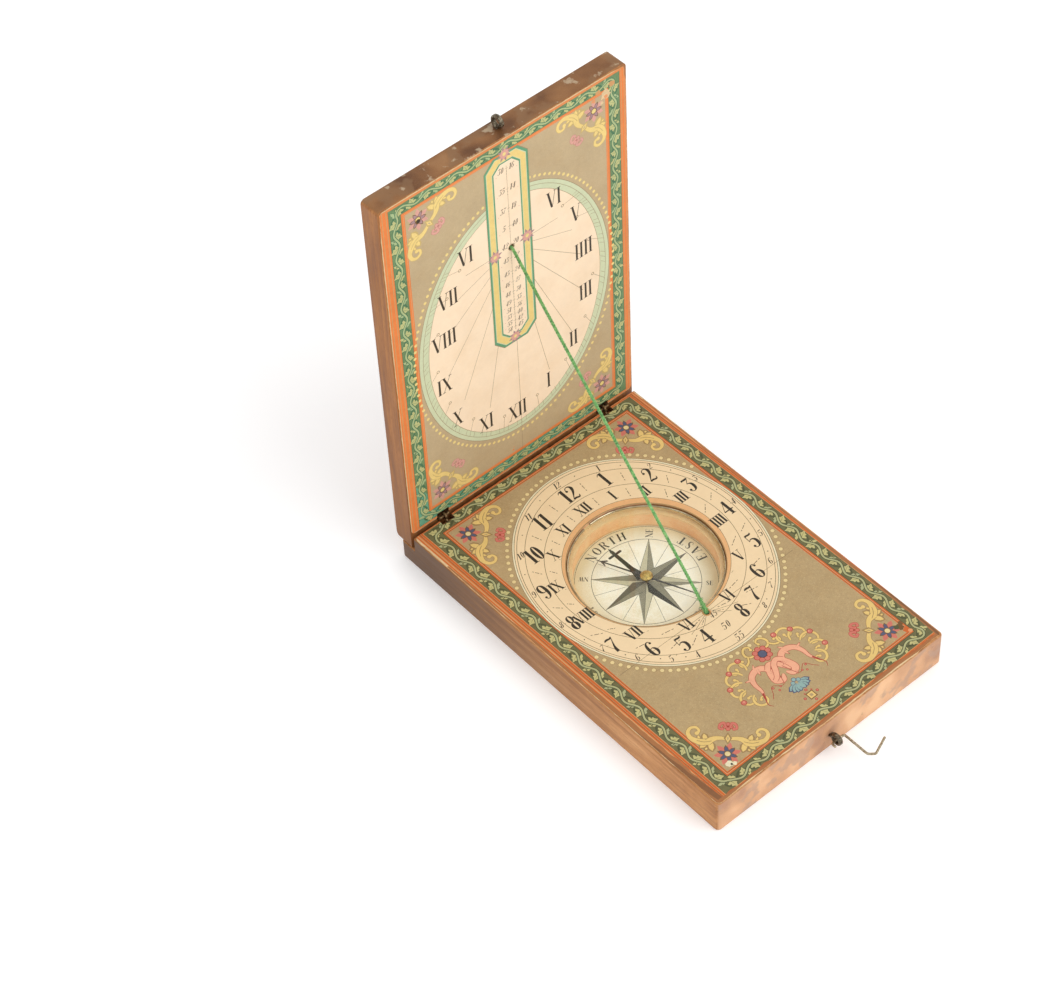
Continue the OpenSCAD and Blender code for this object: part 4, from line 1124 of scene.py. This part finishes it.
def frames(p, closed=False):
    """Tangent and two normals along a line, with no twist"""
    t = np.roll(p, -1, 0) - np.roll(p, 1, 0) if closed else np.gradient(p, axis=0)
    t /= np.linalg.norm(t, axis=1, keepdims=True)
    u = np.zeros_like(p)
    first = np.cross(t[0], (1, 0, 0)) if abs(t[0][0]) < 0.9 else np.cross(t[0], (0, 1, 0))
    u[0] = unit(first)
    for i in range(1, len(p)):
        u[i] = unit(u[i - 1] - t[i] * np.dot(u[i - 1], t[i]))
    return t, u, np.cross(t, u)


def tube(p, r, sides=14, round_ends=True):
    """Closed round wire along p; r may vary along it"""
    p = np.array(p, float)
    r = np.broadcast_to(np.asarray(r, float), (len(p),)).copy()
    if round_ends:
        t0, t1 = unit(p[1] - p[0]), unit(p[-1] - p[-2])
        a = [(sin(x) , cos(x)) for x in (1.35, 1.0, 0.6, 0.25)]
        head = np.array([p[0] - t0 * (r[0] * s - r[0]) * 0 - t0 * 0 + t0 * r[0] * (1 - s) for s, _ in a])
        tail = np.array([p[-1] - t1 * r[-1] * (1 - s) for s, _ in a][::-1])
        rh, rt = np.array([r[0] * c for _, c in a]), np.array([r[-1] * c for _, c in a][::-1])
        inner = [i for i in range(len(p)) if np.dot(p[i] - p[0], t0) > r[0] * 0.8 or i > len(p) // 2]
        inner = [i for i in inner if np.dot(p[-1] - p[i], t1) > r[-1] * 0.8 or i < len(p) // 2]
        p = np.concatenate([head, p[inner], tail])
        r = np.concatenate([rh, r[inner], rt])
    t, u, w = frames(p)
    a = np.arange(sides) * 2 * pi / sides
    v = (p[:, None] + r[:, None, None] * (np.cos(a)[None, :, None] * u[:, None] + np.sin(a)[None, :, None] * w[:, None])).reshape(-1, 3)
    f = []
    for i in range(len(p) - 1):
        for k in range(sides):
            j = (k + 1) % sides
            f.append((i * sides + k, i * sides + j, (i + 1) * sides + j, (i + 1) * sides + k))
    f.append(tuple(range(sides))[::-1])
    f.append(tuple((len(p) - 1) * sides + k for k in range(sides)))
    return v, f


def join(parts):
    v, f = [], []
    for a, b in parts:
        n = sum(len(x) for x in v)
        v.append(np.array(a, float))
        f += [tuple(i + n for i in q) for q in b]
    return np.concatenate(v), f


def metal(name, light, dark, rough, rust=None, scale=2.0):
    """Old drawn wire: patches of tarnish, fine scratches along and across"""
    s = Shade(name, light, rough, Metallic=1.0)
    patch = s.noise(scale, 4, 0.65)
    fine = s.noise(scale * 7, 2, 0.6)
    k = s.ramp(s.math("ADD", s.math("MULTIPLY", patch, 0.75), s.math("MULTIPLY", fine, 0.25)), [(0.40, 0.0), (0.60, 1.0)])
    c = s.mix(k, dark, light)
    if rust:
        c = s.mix(s.ramp(s.noise(scale * 0.8, 4, 0.7, at=s.at(loc=(4, 8, 1))), [(0.52, 0.0), (0.64, 0.75)]), c, rust)
    s.put("Base Color", c)
    s.put("Roughness", s.range(patch, 0.3, 0.7, rough + 0.16, rough - 0.08))
    s.put("Normal", s.bump(s.math("ADD", patch, fine), 0.03, 0.6))
    return s.m


M["wire"] = metal("wire_iron", col(150, 140, 120), col(70, 62, 50), 0.42, col(92, 66, 42))
M["hook"] = metal("wire_hook", col(206, 194, 166), col(128, 114, 90), 0.38, col(132, 104, 72))
M["hinge"] = metal("wire_hinge", col(148, 122, 88), col(88, 68, 46), 0.48, col(104, 76, 50))
M["brass"] = metal("brass_old", col(220, 190, 108), col(176, 148, 78), 0.34, col(132, 110, 60), 1.2)
M["ring"] = metal("ring_brass", col(206, 192, 162), col(150, 132, 102), 0.26, None, 0.12)
M["steel"] = metal("needle_blued", col(112, 110, 108), col(64, 62, 62), 0.36, None, 1.5)


def coil_eye(name, c, u, n, r, wire, pitch, shank, body, node):
    """Two turns of wire whose ends go on as shanks, in the direction u, into the wood"""
    c, u, n, x = (np.array(q, float) for q in (c, u, n, (1, 0, 0)))
    pts = [c + u * shank - x * pitch / 2 + n * 0.0]
    pts.append(c + u * (r + 0.9) - x * pitch / 2)
    for a in np.radians(np.linspace(14, 706, 84)):
        pts.append(c + r * (cos(a) * u + sin(a) * n) + x * pitch * (-0.5 + (a - 0.24) / (4 * pi - 0.5)))
    pts.append(c + u * (r + 0.9) + x * pitch / 2)
    pts.append(c + u * shank + x * pitch / 2)
    line, _ = resample(np.array(pts), 0.16)
    for _ in range(3):
        line[1:-1] = (line[:-2] + 2 * line[1:-1] + line[2:]) / 4
    g = np.random.RandomState(3)
    rad = wire / 2 * (0.985 + 0.012 * np.cumsum(g.randn(len(line))) / np.sqrt(len(line)))
    v, f = tube(line, np.clip(rad, wire * 0.47, wire * 0.5), 18)
    return mesh_object(name, v * MM, f, [M["wire"]], body, (node,), smooth_shade=True, auto=40)


HOOK_EYE = (-0.7, -60.195, 4.85)
LATCH_EYE = (0.9, 57.0, 123.205)
coil_eye("hook_eye_coil", HOOK_EYE, (0, 1, 0), (0, 0, 1), 1.4, 0.85, 0.82, 8.0, "base", "hook_eye")
coil_eye("latch_eye_coil", LATCH_EYE, (0, 0, -1), (0, 1, 0), 1.4, 0.85, 0.82, 7.9, "lid", "latch_eye")

hook_line = fillet([(-2.2, -1.4, 0), (-2.2, 0, 0), (1.9, 0, 0), (1.9, -7.8, 0), (3.4, -9.1, 0), (8.6, -7, 0)], 0.5, 7) + np.array((0, -60.195, 4.225))
hook_line, _ = resample(hook_line, 0.18)
v, f = tube(hook_line, 0.32, 18)
mesh_object("hook_wire", v * MM, f, [M["hook"]], "hook", ("latch_hook",), smooth_shade=True, auto=40)


def string_line():
    a, b = np.array((0.1, -14.4, 10.65)), np.array((0.1, 53.45, 86.4))
    p = fillet([(0.1, -14.4, 2.0), a, b, (0.1, 57.98, 86.4)], 0.9, 10)
    return resample(p, 0.26)


def strand(phase, line, s, off, r, pitch, sides=8):
    t, u, w = frames(line)
    a = 2 * pi * s / pitch + phase
    q = line + off * (np.cos(a)[:, None] * u + np.sin(a)[:, None] * w)
    return tube(q, r, sides, False)


def string_material():
    s = Shade("string_green", col(88, 190, 98), 0.85)
    s.b.inputs["Sheen Weight"].default_value = 0.35
    s.b.inputs["Sheen Roughness"].default_value = 0.5
    along = s.noise(0.5, 3, 0.6)
    fine = s.noise(7, 3, 0.7)
    mid = s.noise(2.0, 2, 0.6)
    k = s.math("ADD", s.math("MULTIPLY", along, 0.3), s.math("ADD", s.math("MULTIPLY", mid, 0.35), s.math("MULTIPLY", fine, 0.35)))
    high = s.range(s.xyz()[2], 22, 78)
    c = s.ramp(k, [(0.38, col(62, 118, 62)), (0.46, col(94, 156, 82)), (0.54, col(122, 182, 104)), (0.66, col(160, 208, 138))])
    s.put("Base Color", s.mix(s.math("MULTIPLY", high, 0.55), c, s.ramp(k, [(0.39, col(62, 104, 50)), (0.50, col(98, 146, 72)), (0.62, col(138, 178, 102))])))
    s.put("Normal", s.bump(fine, 0.06, 0.8))
    return s.m


M["string"] = string_material()
line, along = string_line()
parts = [strand(k * 2 * pi / 3, line, along, 0.20, 0.235, 2.3) for k in range(3)]
g = random.Random(12)
t, u, w = frames(line)
foot_i = int(np.argmin(np.linalg.norm(line - np.array((0.1, -14.4, 10.65)), axis=1)))
head_i = int(np.argmin(np.linalg.norm(line - np.array((0.1, 53.45, 86.4)), axis=1)))
# loose fibres: all along, and thick at the foot where the string is worn
for k in range(420):
    if k < 190:
        i = foot_i + 1 + int(abs(g.gauss(0, 9)))
    else:
        i = g.randrange(foot_i + 2, head_i - 2)
    i = min(i, head_i - 3)
    a, e = g.uniform(0, 2 * pi), g.uniform(0.25, 1.0)
    out = cos(a) * u[i] + sin(a) * w[i]
    side = -sin(a) * u[i] + cos(a) * w[i]
    length = g.uniform(0.25, 0.7) * (2.5 if k < 190 else 1.25)
    p0 = line[i] + out * 0.2
    p1 = p0 + out * length * 0.35 * e + t[i] * length * 0.35 * g.choice((-1, 1)) + side * 0.1
    p2 = p1 + out * length * 0.25 * e + t[i] * length * 0.3 * g.uniform(-1, 1) + side * g.uniform(-0.2, 0.2)
    h = np.array([p0, (p0 + p1) / 2 + side * 0.04, p1, p2])
    h[:, 2] = np.maximum(h[:, 2], 10.53)
    parts.append(tube(h, np.array([0.055, 0.05, 0.04, 0.02]) * (1.6 if k < 190 else 1.25), 4, False))
v, f = join(parts)
string = mesh_object("string_twist", v * MM, f, [M["string"]], None, (), smooth_shade=True, auto=50)
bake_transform(string, "base", "lid", (0, 0, 0.0109), (0, 0.0532, 0.08))
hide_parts("gnomon_string")
co = np.array([q.co for q in string.data.vertices])
ang = np.degrees(np.arctan2(co[:, 2] - AX_Z * MM, AX_Y * MM - co[:, 1])) / 90
ang = np.where(co[:, 2] < 0.0106, 0.0, ang)
ang = np.where(co[:, 1] > 0.0534, 1.0, ang)
string.data.attributes["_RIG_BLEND"].data.foreach_set("value", np.clip(ang, 0, 1).astype(np.float32))


def knot(name, c, axis, body, node):
    """A small overhand knot, pulled tight"""
    t = np.linspace(0, 2 * pi, 121)
    k = np.stack([(0.50 + 0.27 * np.cos(3 * t)) * np.cos(2 * t), (0.50 + 0.27 * np.cos(3 * t)) * np.sin(2 * t), 0.36 * np.sin(3 * t)], 1)
    turns = []
    for ph in (0, pi):
        tt, uu, ww = frames(k)
        a = 2 * pi * np.linspace(0, 7, len(k)) + ph
        turns.append(tube(k + 0.09 * (np.cos(a)[:, None] * uu + np.sin(a)[:, None] * ww), 0.15, 8, False))
    end = np.array([(0.1, 0.2, -0.3), (0.25, 0.35, -0.45), (0.42, 0.3, -0.62)])
    turns.append(tube(end, [0.2, 0.2, 0.16], 8))
    v, f = join(turns)
    m = Matrix.Translation(Vector(c)) @ (Matrix.Rotation(-pi / 2, 4, "X") if axis == "y" else Matrix.Identity(4))
    if axis == "y":
        v = v * np.array((1, 1, -1))
        f = [tuple(reversed(q)) for q in f]
    v = np.array([tuple(m @ Vector(p)) for p in v])
    return mesh_object(name, v * MM, f, [M["string"]], body, (node,), smooth_shade=True, auto=50)


knot("base_knot", (0.1, -14.4, 1.35), "z", "base", "base_string_knot")
knot("lid_knot", (0.1, 58.7, 86.4), "y", "lid", "lid_string_knot")

# ---------------------------------------------------------------- compass
ring_a = np.radians(np.linspace(100, 454, 200))
ring_line = np.stack([WELL_X + 19.6 * np.cos(ring_a), WELL_Y + 19.6 * np.sin(ring_a), np.full(len(ring_a), 9.78)], 1)
v, f = tube(ring_line, 0.27, 14)
mesh_object("glass_ring_wire", v * MM, f, [M["ring"]], "base", ("glass_ring",), smooth_shade=True, auto=40)


def well_paper():
    s = Shade("well_paper", col(226, 150, 104), 0.62)
    z = s.xyz()[2]
    blotch = s.noise(0.16, 4, 0.6)
    fibre = s.noise(1.8, 4, 0.65, at=s.at((0.5, 0.5, 2.0)))
    k = s.math("ADD", s.math("MULTIPLY", blotch, 0.6), s.math("MULTIPLY", fibre, 0.4))
    c = s.ramp(k, [(0.30, col(240, 174, 118)), (0.46, col(252, 200, 146)), (0.60, col(255, 216, 166)), (0.78, col(255, 230, 190))])
    rim = s.range(z, 7.5, 9.0)
    c = s.mix(s.math("MULTIPLY", rim, 0.75), c, col(226, 208, 156))
    # painted shade: the wall darker towards its foot, where it meets the card
    foot = s.range(z, 4.3, 3.5)
    c = s.mix(s.math("MULTIPLY", foot, 0.45), c, col(150, 112, 70))
    s.put("Base Color", c)
    s.put("Roughness", s.range(fibre, 0.3, 0.7, 0.5, 0.72))
    s.put("Normal", s.bump(fibre, 0.05, 0.6))
    return s.m


M["well"] = well_paper()


def glass():
    m = bpy.data.materials.new("glass_old")
    m.use_nodes = True
    t = m.node_tree
    t.nodes.clear()
    out = t.nodes.new("ShaderNodeOutputMaterial")
    mix = t.nodes.new("ShaderNodeMixShader")
    clear = t.nodes.new("ShaderNodeBsdfTransparent")
    clear.inputs[0].default_value = (0.985, 0.99, 0.975, 1)
    gloss = t.nodes.new("ShaderNodeBsdfGlossy")
    gloss.inputs["Roughness"].default_value = 0.03
    face = t.nodes.new("ShaderNodeLayerWeight")
    face.inputs["Blend"].default_value = 0.5
    power = t.nodes.new("ShaderNodeMath")
    power.operation = "POWER"
    power.inputs[1].default_value = 3.0
    fac = t.nodes.new("ShaderNodeMath")
    fac.operation = "MULTIPLY_ADD"
    fac.inputs[1].default_value = 0.55
    fac.inputs[2].default_value = 0.02
    t.links.new(face.outputs["Facing"], power.inputs[0])
    t.links.new(power.outputs[0], fac.inputs[0])
    tc = t.nodes.new("ShaderNodeTexCoord")
    noise = t.nodes.new("ShaderNodeTexNoise")
    noise.inputs["Scale"].default_value = 120
    noise.inputs["Detail"].default_value = 2
    bump = t.nodes.new("ShaderNodeBump")
    bump.inputs["Distance"].default_value = 0.00006
    bump.inputs["Strength"].default_value = 0.4
    t.links.new(tc.outputs["Object"], noise.inputs["Vector"])
    t.links.new(noise.outputs[0], bump.inputs["Height"])
    t.links.new(bump.outputs[0], gloss.inputs["Normal"])
    t.links.new(fac.outputs[0], mix.inputs[0])
    t.links.new(clear.outputs[0], mix.inputs[1])
    t.links.new(gloss.outputs[0], mix.inputs[2])
    t.links.new(mix.outputs[0], out.inputs[0])
    return m


M["glass"] = glass()


def dress(node, material):
    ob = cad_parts[node]
    if not ob.material_slots:
        ob.data.materials.append(material)
    for s in ob.material_slots:
        s.link = "OBJECT"
        s.material = material


dress("well_hoop", M["well"])
dress("needle_pivot", M["brass"])
dress("needle_cap", M["brass"])
for n in ("base_hinge_eye_left", "base_hinge_eye_right", "lid_hinge_staple_left", "lid_hinge_staple_right"):
    dress(n, M["hinge"])


def plate(outline, z0, z1):
    """A flat closed plate from a counter-clockwise outline"""
    n = len(outline)
    v = [(x, y, z) for z in (z0, z1) for x, y in outline]
    return np.array(v), [tuple(reversed(range(n))), tuple(range(n, 2 * n))] + [(i, (i + 1) % n, (i + 1) % n + n, i + n) for i in range(n)]


def glass_lining():
    """The end of the well's paper, turned up between the glass and the wood"""
    m = 144
    v = [(WELL_X + r * cos(2 * pi * i / m), WELL_Y + r * sin(2 * pi * i / m), z)
         for r, z in ((19.89, 8.32), (19.862, 8.32), (19.862, 9.5), (19.89, 9.5)) for i in range(m)]
    f = [(k * m + i, k * m + (i + 1) % m, (k + 1) % 4 * m + (i + 1) % m, (k + 1) % 4 * m + i) for k in range(4) for i in range(m)]
    f = [tuple(reversed(q)) for q in f] if turned_in(v, f) else f
    mesh_object("glass_lining", np.array(v) * MM, f, [M["well"]], "base", ())


def turned_in(v, f):
    """True if the closed faces look inwards"""
    p = np.array(v)
    vol = 0.0
    for q in f:
        for i in range(1, len(q) - 1):
            vol += np.dot(p[q[0]], np.cross(p[q[i]], p[q[i + 1]]))
    return vol < 0


glass_lining()


def glass_disc():
    """The CAD glass, held 0.03 mm clear of the hoop that carries it"""
    m = 144
    v = [(WELL_X + 19.85 * cos(2 * pi * i / m), WELL_Y + 19.85 * sin(2 * pi * i / m), z) for z in (8.33, 9.5) for i in range(m)]
    f = [tuple(reversed(range(m))), tuple(range(m, 2 * m))] + [(i, (i + 1) % m, (i + 1) % m + m, i + m) for i in range(m)]
    mesh_object("glass_disc", np.array(v) * MM, f, [M["glass"]], "base", ("compass_glass",))


glass_disc()


def needle_blade():
    north = [(0.20, 1.2), (0.10, 11.6), (0.78, 10.85), (0.88, 11.1), (0.10, 12.5), (0.0, 13.9)]
    north = north + [(-x, y) for x, y in reversed(north[:-1])]
    south = [(-0.20, -1.2), (-0.09, -12.4), (0.0, -13.3), (0.09, -12.4), (0.20, -1.2)]
    m = 48
    v, f = [], []
    for r0, z in ((1.5, 5.3), (0.95, 5.3), (0.95, 5.6), (1.5, 5.6)):
        v += [(r0 * cos(2 * pi * i / m), r0 * sin(2 * pi * i / m), z) for i in range(m)]
    for k in range(4):
        for i in range(m):
            j = (i + 1) % m
            a, b = k * m, ((k + 1) % 4) * m
            f.append((a + i, b + i, b + j, a + j))
    v, f = join([(np.array(v), f), plate(north, 5.32, 5.58), plate(south, 5.32, 5.58)])
    a = math.radians(23.8)
    v = np.stack([WELL_X + v[:, 0] * cos(a) - v[:, 1] * sin(a), WELL_Y + v[:, 0] * sin(a) + v[:, 1] * cos(a), v[:, 2]], 1)
    mesh_object("needle_blade", v * MM, f, [M["steel"]], "needle", ("compass_needle",))


needle_blade()


# ---------------------------------------------------------------- wood
def wood(name, along, tones, ends, seed, side_dark=None):
    """Fruitwood: streaks and pores along the grain, mottled end grain, what side_dark adds (painted shade on the base's
    sides; stains and a darker bottom on the lid), and rubbed edges
    """
    s = Shade(name, tones[1], 0.5, Specular_IOR_Level=0.32)
    st = [1.0, 1.0, 1.0]
    st[along] = 0.05
    o = (seed * 3.1, seed * 1.7, seed * 2.3)
    band = s.noise(0.22, 3, 0.6, at=s.at(tuple(st), o), dist=1.2)
    streak = s.noise(1.1, 4, 0.65, at=s.at(tuple(st), o), dist=0.4)
    st2 = list(st)
    st2[along] = 0.09
    pore = s.noise(5.5, 2, 0.6, at=s.at(tuple(st2), o))
    blotch = s.noise(0.055, 4, 0.65, at=s.at(loc=o), dist=0.6)
    k = s.math("ADD", s.math("MULTIPLY", band, 0.45), s.math("MULTIPLY", streak, 0.35))
    k = s.math("ADD", k, s.math("MULTIPLY", blotch, 0.20))
    side = s.ramp(k, [(0.34, tones[0]), (0.47, tones[1]), (0.56, tones[2]), (0.68, tones[3])])
    side = s.mix(s.math("MULTIPLY", s.ramp(pore, [(0.54, 0.0), (0.66, 1.0)]), 0.40), side, tones[0])
    # end grain: pores as dots, blurred patches
    patch = s.noise(0.10, 2, 0.5, at=s.at(loc=(o[1], o[2], o[0])), dist=0.15)
    dots = s.noise(6.0, 2, 0.6)
    e = s.math("ADD", s.math("MULTIPLY", patch, 0.8), s.math("MULTIPLY", dots, 0.2))
    end = s.ramp(e, [(0.36, ends[0]), (0.46, ends[1]), (0.55, ends[2]), (0.66, ends[3])])
    cloud = s.ramp(s.noise(0.16, 3, 0.5, at=s.at(loc=(o[2], o[0], o[1]))), [(0.53, 0.0), (0.59, 1.0)])
    end = s.mix(s.math("MULTIPLY", cloud, 0.6), end, ends[4])
    tc = s.t.nodes.new("ShaderNodeTexCoord")
    sep = s.t.nodes.new("ShaderNodeSeparateXYZ")
    s.t.links.new(tc.outputs["Normal"], sep.inputs[0])
    facing = s.range(s.math("ABSOLUTE", sep.outputs[along]), 0.55, 0.85)
    c = s.mix(facing, side, end)
    if side_dark:
        c = side_dark(s, c, sep)
    # dark rubbed spots
    spot = s.ramp(s.noise(0.35, 5, 0.7, at=s.at(loc=(9, o[0], 4))), [(0.66, 0.0), (0.74, 1.0)])
    c = s.mix(s.math("MULTIPLY", spot, 0.35), c, col(96, 70, 50))
    s.put("Base Color", c)
    s.put("Roughness", s.range(streak, 0.3, 0.7, 0.42, 0.62))
    h = s.math("ADD", s.math("MULTIPLY", streak, 0.5), s.math("MULTIPLY", pore, 0.5))
    s.put("Normal", s.bump(s.math("ADD", h, s.math("MULTIPLY", blotch, 1.5)), 0.05, 0.7))
    return s.m


# painted shade: the base's side faces darken towards the rear, where the lid shades them
def base_side_rear_shade(s, c, sep):
    y = s.xyz()[1]
    rear = s.range(y, -25, 45)
    left = s.range(s.math("ABSOLUTE", sep.outputs[0]), 0.5, 0.9)
    k = s.math("MULTIPLY", s.math("MULTIPLY", rear, left), 0.88)
    return s.mix(k, c, col(84, 60, 42))


def lid_stains_and_low_dark(s, c, sep):
    z = s.xyz()[2]
    top = s.range(z, 119.8, 121.2)
    stain = s.ramp(s.noise(0.28, 4, 0.6, at=s.at(loc=(2, 5, 40))), [(0.60, 0.0), (0.66, 1.0)])
    c = s.mix(s.math("MULTIPLY", s.math("MULTIPLY", top, stain), 0.6), c, col(196, 176, 146))
    # darker towards the bottom of the lid, near the hinge
    low = s.range(z, 40, 6)
    return s.mix(s.math("MULTIPLY", low, 0.6), c, col(104, 64, 34))


M["wood_base"] = wood("wood_base", 1, (col(130, 84, 46), col(170, 114, 66), col(194, 138, 86), col(216, 164, 114)),
                      (col(178, 132, 102), col(202, 153, 113), col(214, 163, 121), col(230, 184, 140), col(174, 142, 122)), 1, base_side_rear_shade)
M["wood_lid"] = wood("wood_lid", 2, (col(112, 68, 34), col(148, 94, 48), col(170, 112, 60), col(188, 132, 76)),
                     (col(98, 62, 34), col(126, 84, 48), col(142, 98, 58), col(158, 116, 76), col(132, 98, 66)), 4, lid_stains_and_low_dark)


def leaf(node, name, material, body, outer):
    """The CAD leaf with its outer edges rubbed round"""
    import bmesh
    bm = bmesh.new()
    bm.from_mesh(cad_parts[node].data)
    bmesh.ops.remove_doubles(bm, verts=bm.verts, dist=2e-6)
    bmesh.ops.dissolve_limit(bm, angle_limit=0.012, verts=bm.verts, edges=bm.edges)
    bm.normal_update()
    pick = []
    for e in bm.edges:
        if len(e.link_faces) == 2 and e.calc_face_angle(0) > 0.6 and outer(e.verts[0].co / MM) and outer(e.verts[1].co / MM):
            pick.append(e)
    bmesh.ops.bevel(bm, geom=pick, offset=0.34 * MM, segments=3, profile=0.55, affect="EDGES", clamp_overlap=True)
    bmesh.ops.triangulate(bm, faces=[f for f in bm.faces if len(f.verts) > 4])
    me = bpy.data.meshes.new(name)
    bm.to_mesh(me)
    bm.free()
    # the normals stored with the CAD mesh no longer fit the bevelled one
    for key in [a.name for a in me.attributes if "normal" in a.name]:
        me.attributes.remove(me.attributes[key])
    me.materials.clear()
    me.materials.append(material)
    me.polygons.foreach_set("use_smooth", [max(abs(c) for c in q.normal) < 0.9995 for q in me.polygons])
    me.set_sharp_from_angle(angle=math.radians(28))
    ob = bpy.data.objects.new(name, me)
    bpy.context.scene.collection.objects.link(ob)
    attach(ob, body)
    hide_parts(node)
    return ob


def base_outer(p):
    edge = abs(p.x) > 36.2 or p.y < -56.9 or p.y > 57.0
    flat = abs(p.z) < 0.01 or abs(p.z - Z_WOOD) < 0.01 or abs(p.z - Z_SHELF) < 0.01
    return edge and flat


def lid_outer(p):
    edge = abs(p.x) > 36.2 or p.z > 120.0
    flat = abs(p.y - (LID_Y0 + 0.15)) < 0.01 or abs(p.y - LID_Y1) < 0.01
    return edge and flat


leaf("base_leaf", "base_wood", M["wood_base"], "base", base_outer)
leaf("lid_leaf", "lid_wood", M["wood_lid"], "lid", lid_outer)


# ---------------------------------------------------------------- floor and light
def stage():
    me = bpy.data.meshes.new("floor")
    n, h = 24, 3.0
    v = [(-h + 2 * h * i / n, -h + 2 * h * j / n, -0.00005) for j in range(n + 1) for i in range(n + 1)]
    f = [(j * (n + 1) + i, j * (n + 1) + i + 1, (j + 1) * (n + 1) + i + 1, (j + 1) * (n + 1) + i) for j in range(n) for i in range(n)]
    me.from_pydata(v, [], f)
    s = Shade("floor_white", (0.93, 0.93, 0.93, 1), 0.9, Emission_Color=(1, 1, 1, 1), Emission_Strength=0.14)
    me.materials.append(s.m)
    ob = bpy.data.objects.new("floor", me)
    bpy.context.scene.collection.objects.link(ob)
    w = bpy.data.worlds.new("studio")
    w.use_nodes = True
    w.node_tree.nodes["Background"].inputs[0].default_value = (1, 1, 1, 1)
    w.node_tree.nodes["Background"].inputs[1].default_value = 0.95
    bpy.context.scene.world = w

    def area(name, at, aim, size, watts, colour=(1, 1, 1)):
        d = bpy.data.lights.new(name, "AREA")
        d.shape, d.size, d.energy, d.color = "DISK", size, watts, colour
        o = bpy.data.objects.new(name, d)
        o.location = at
        o.rotation_mode = "QUATERNION"
        o.rotation_quaternion = (Vector(aim) - Vector(at)).to_track_quat("-Z", "Y")
        bpy.context.scene.collection.objects.link(o)

    area("key", (0.25, -0.70, 0.95), (0, 0, 0.03), 0.9, 4.2)


stage()
bpy.context.scene.view_settings.view_transform = "Standard"
bpy.context.scene.view_settings.look = "None"
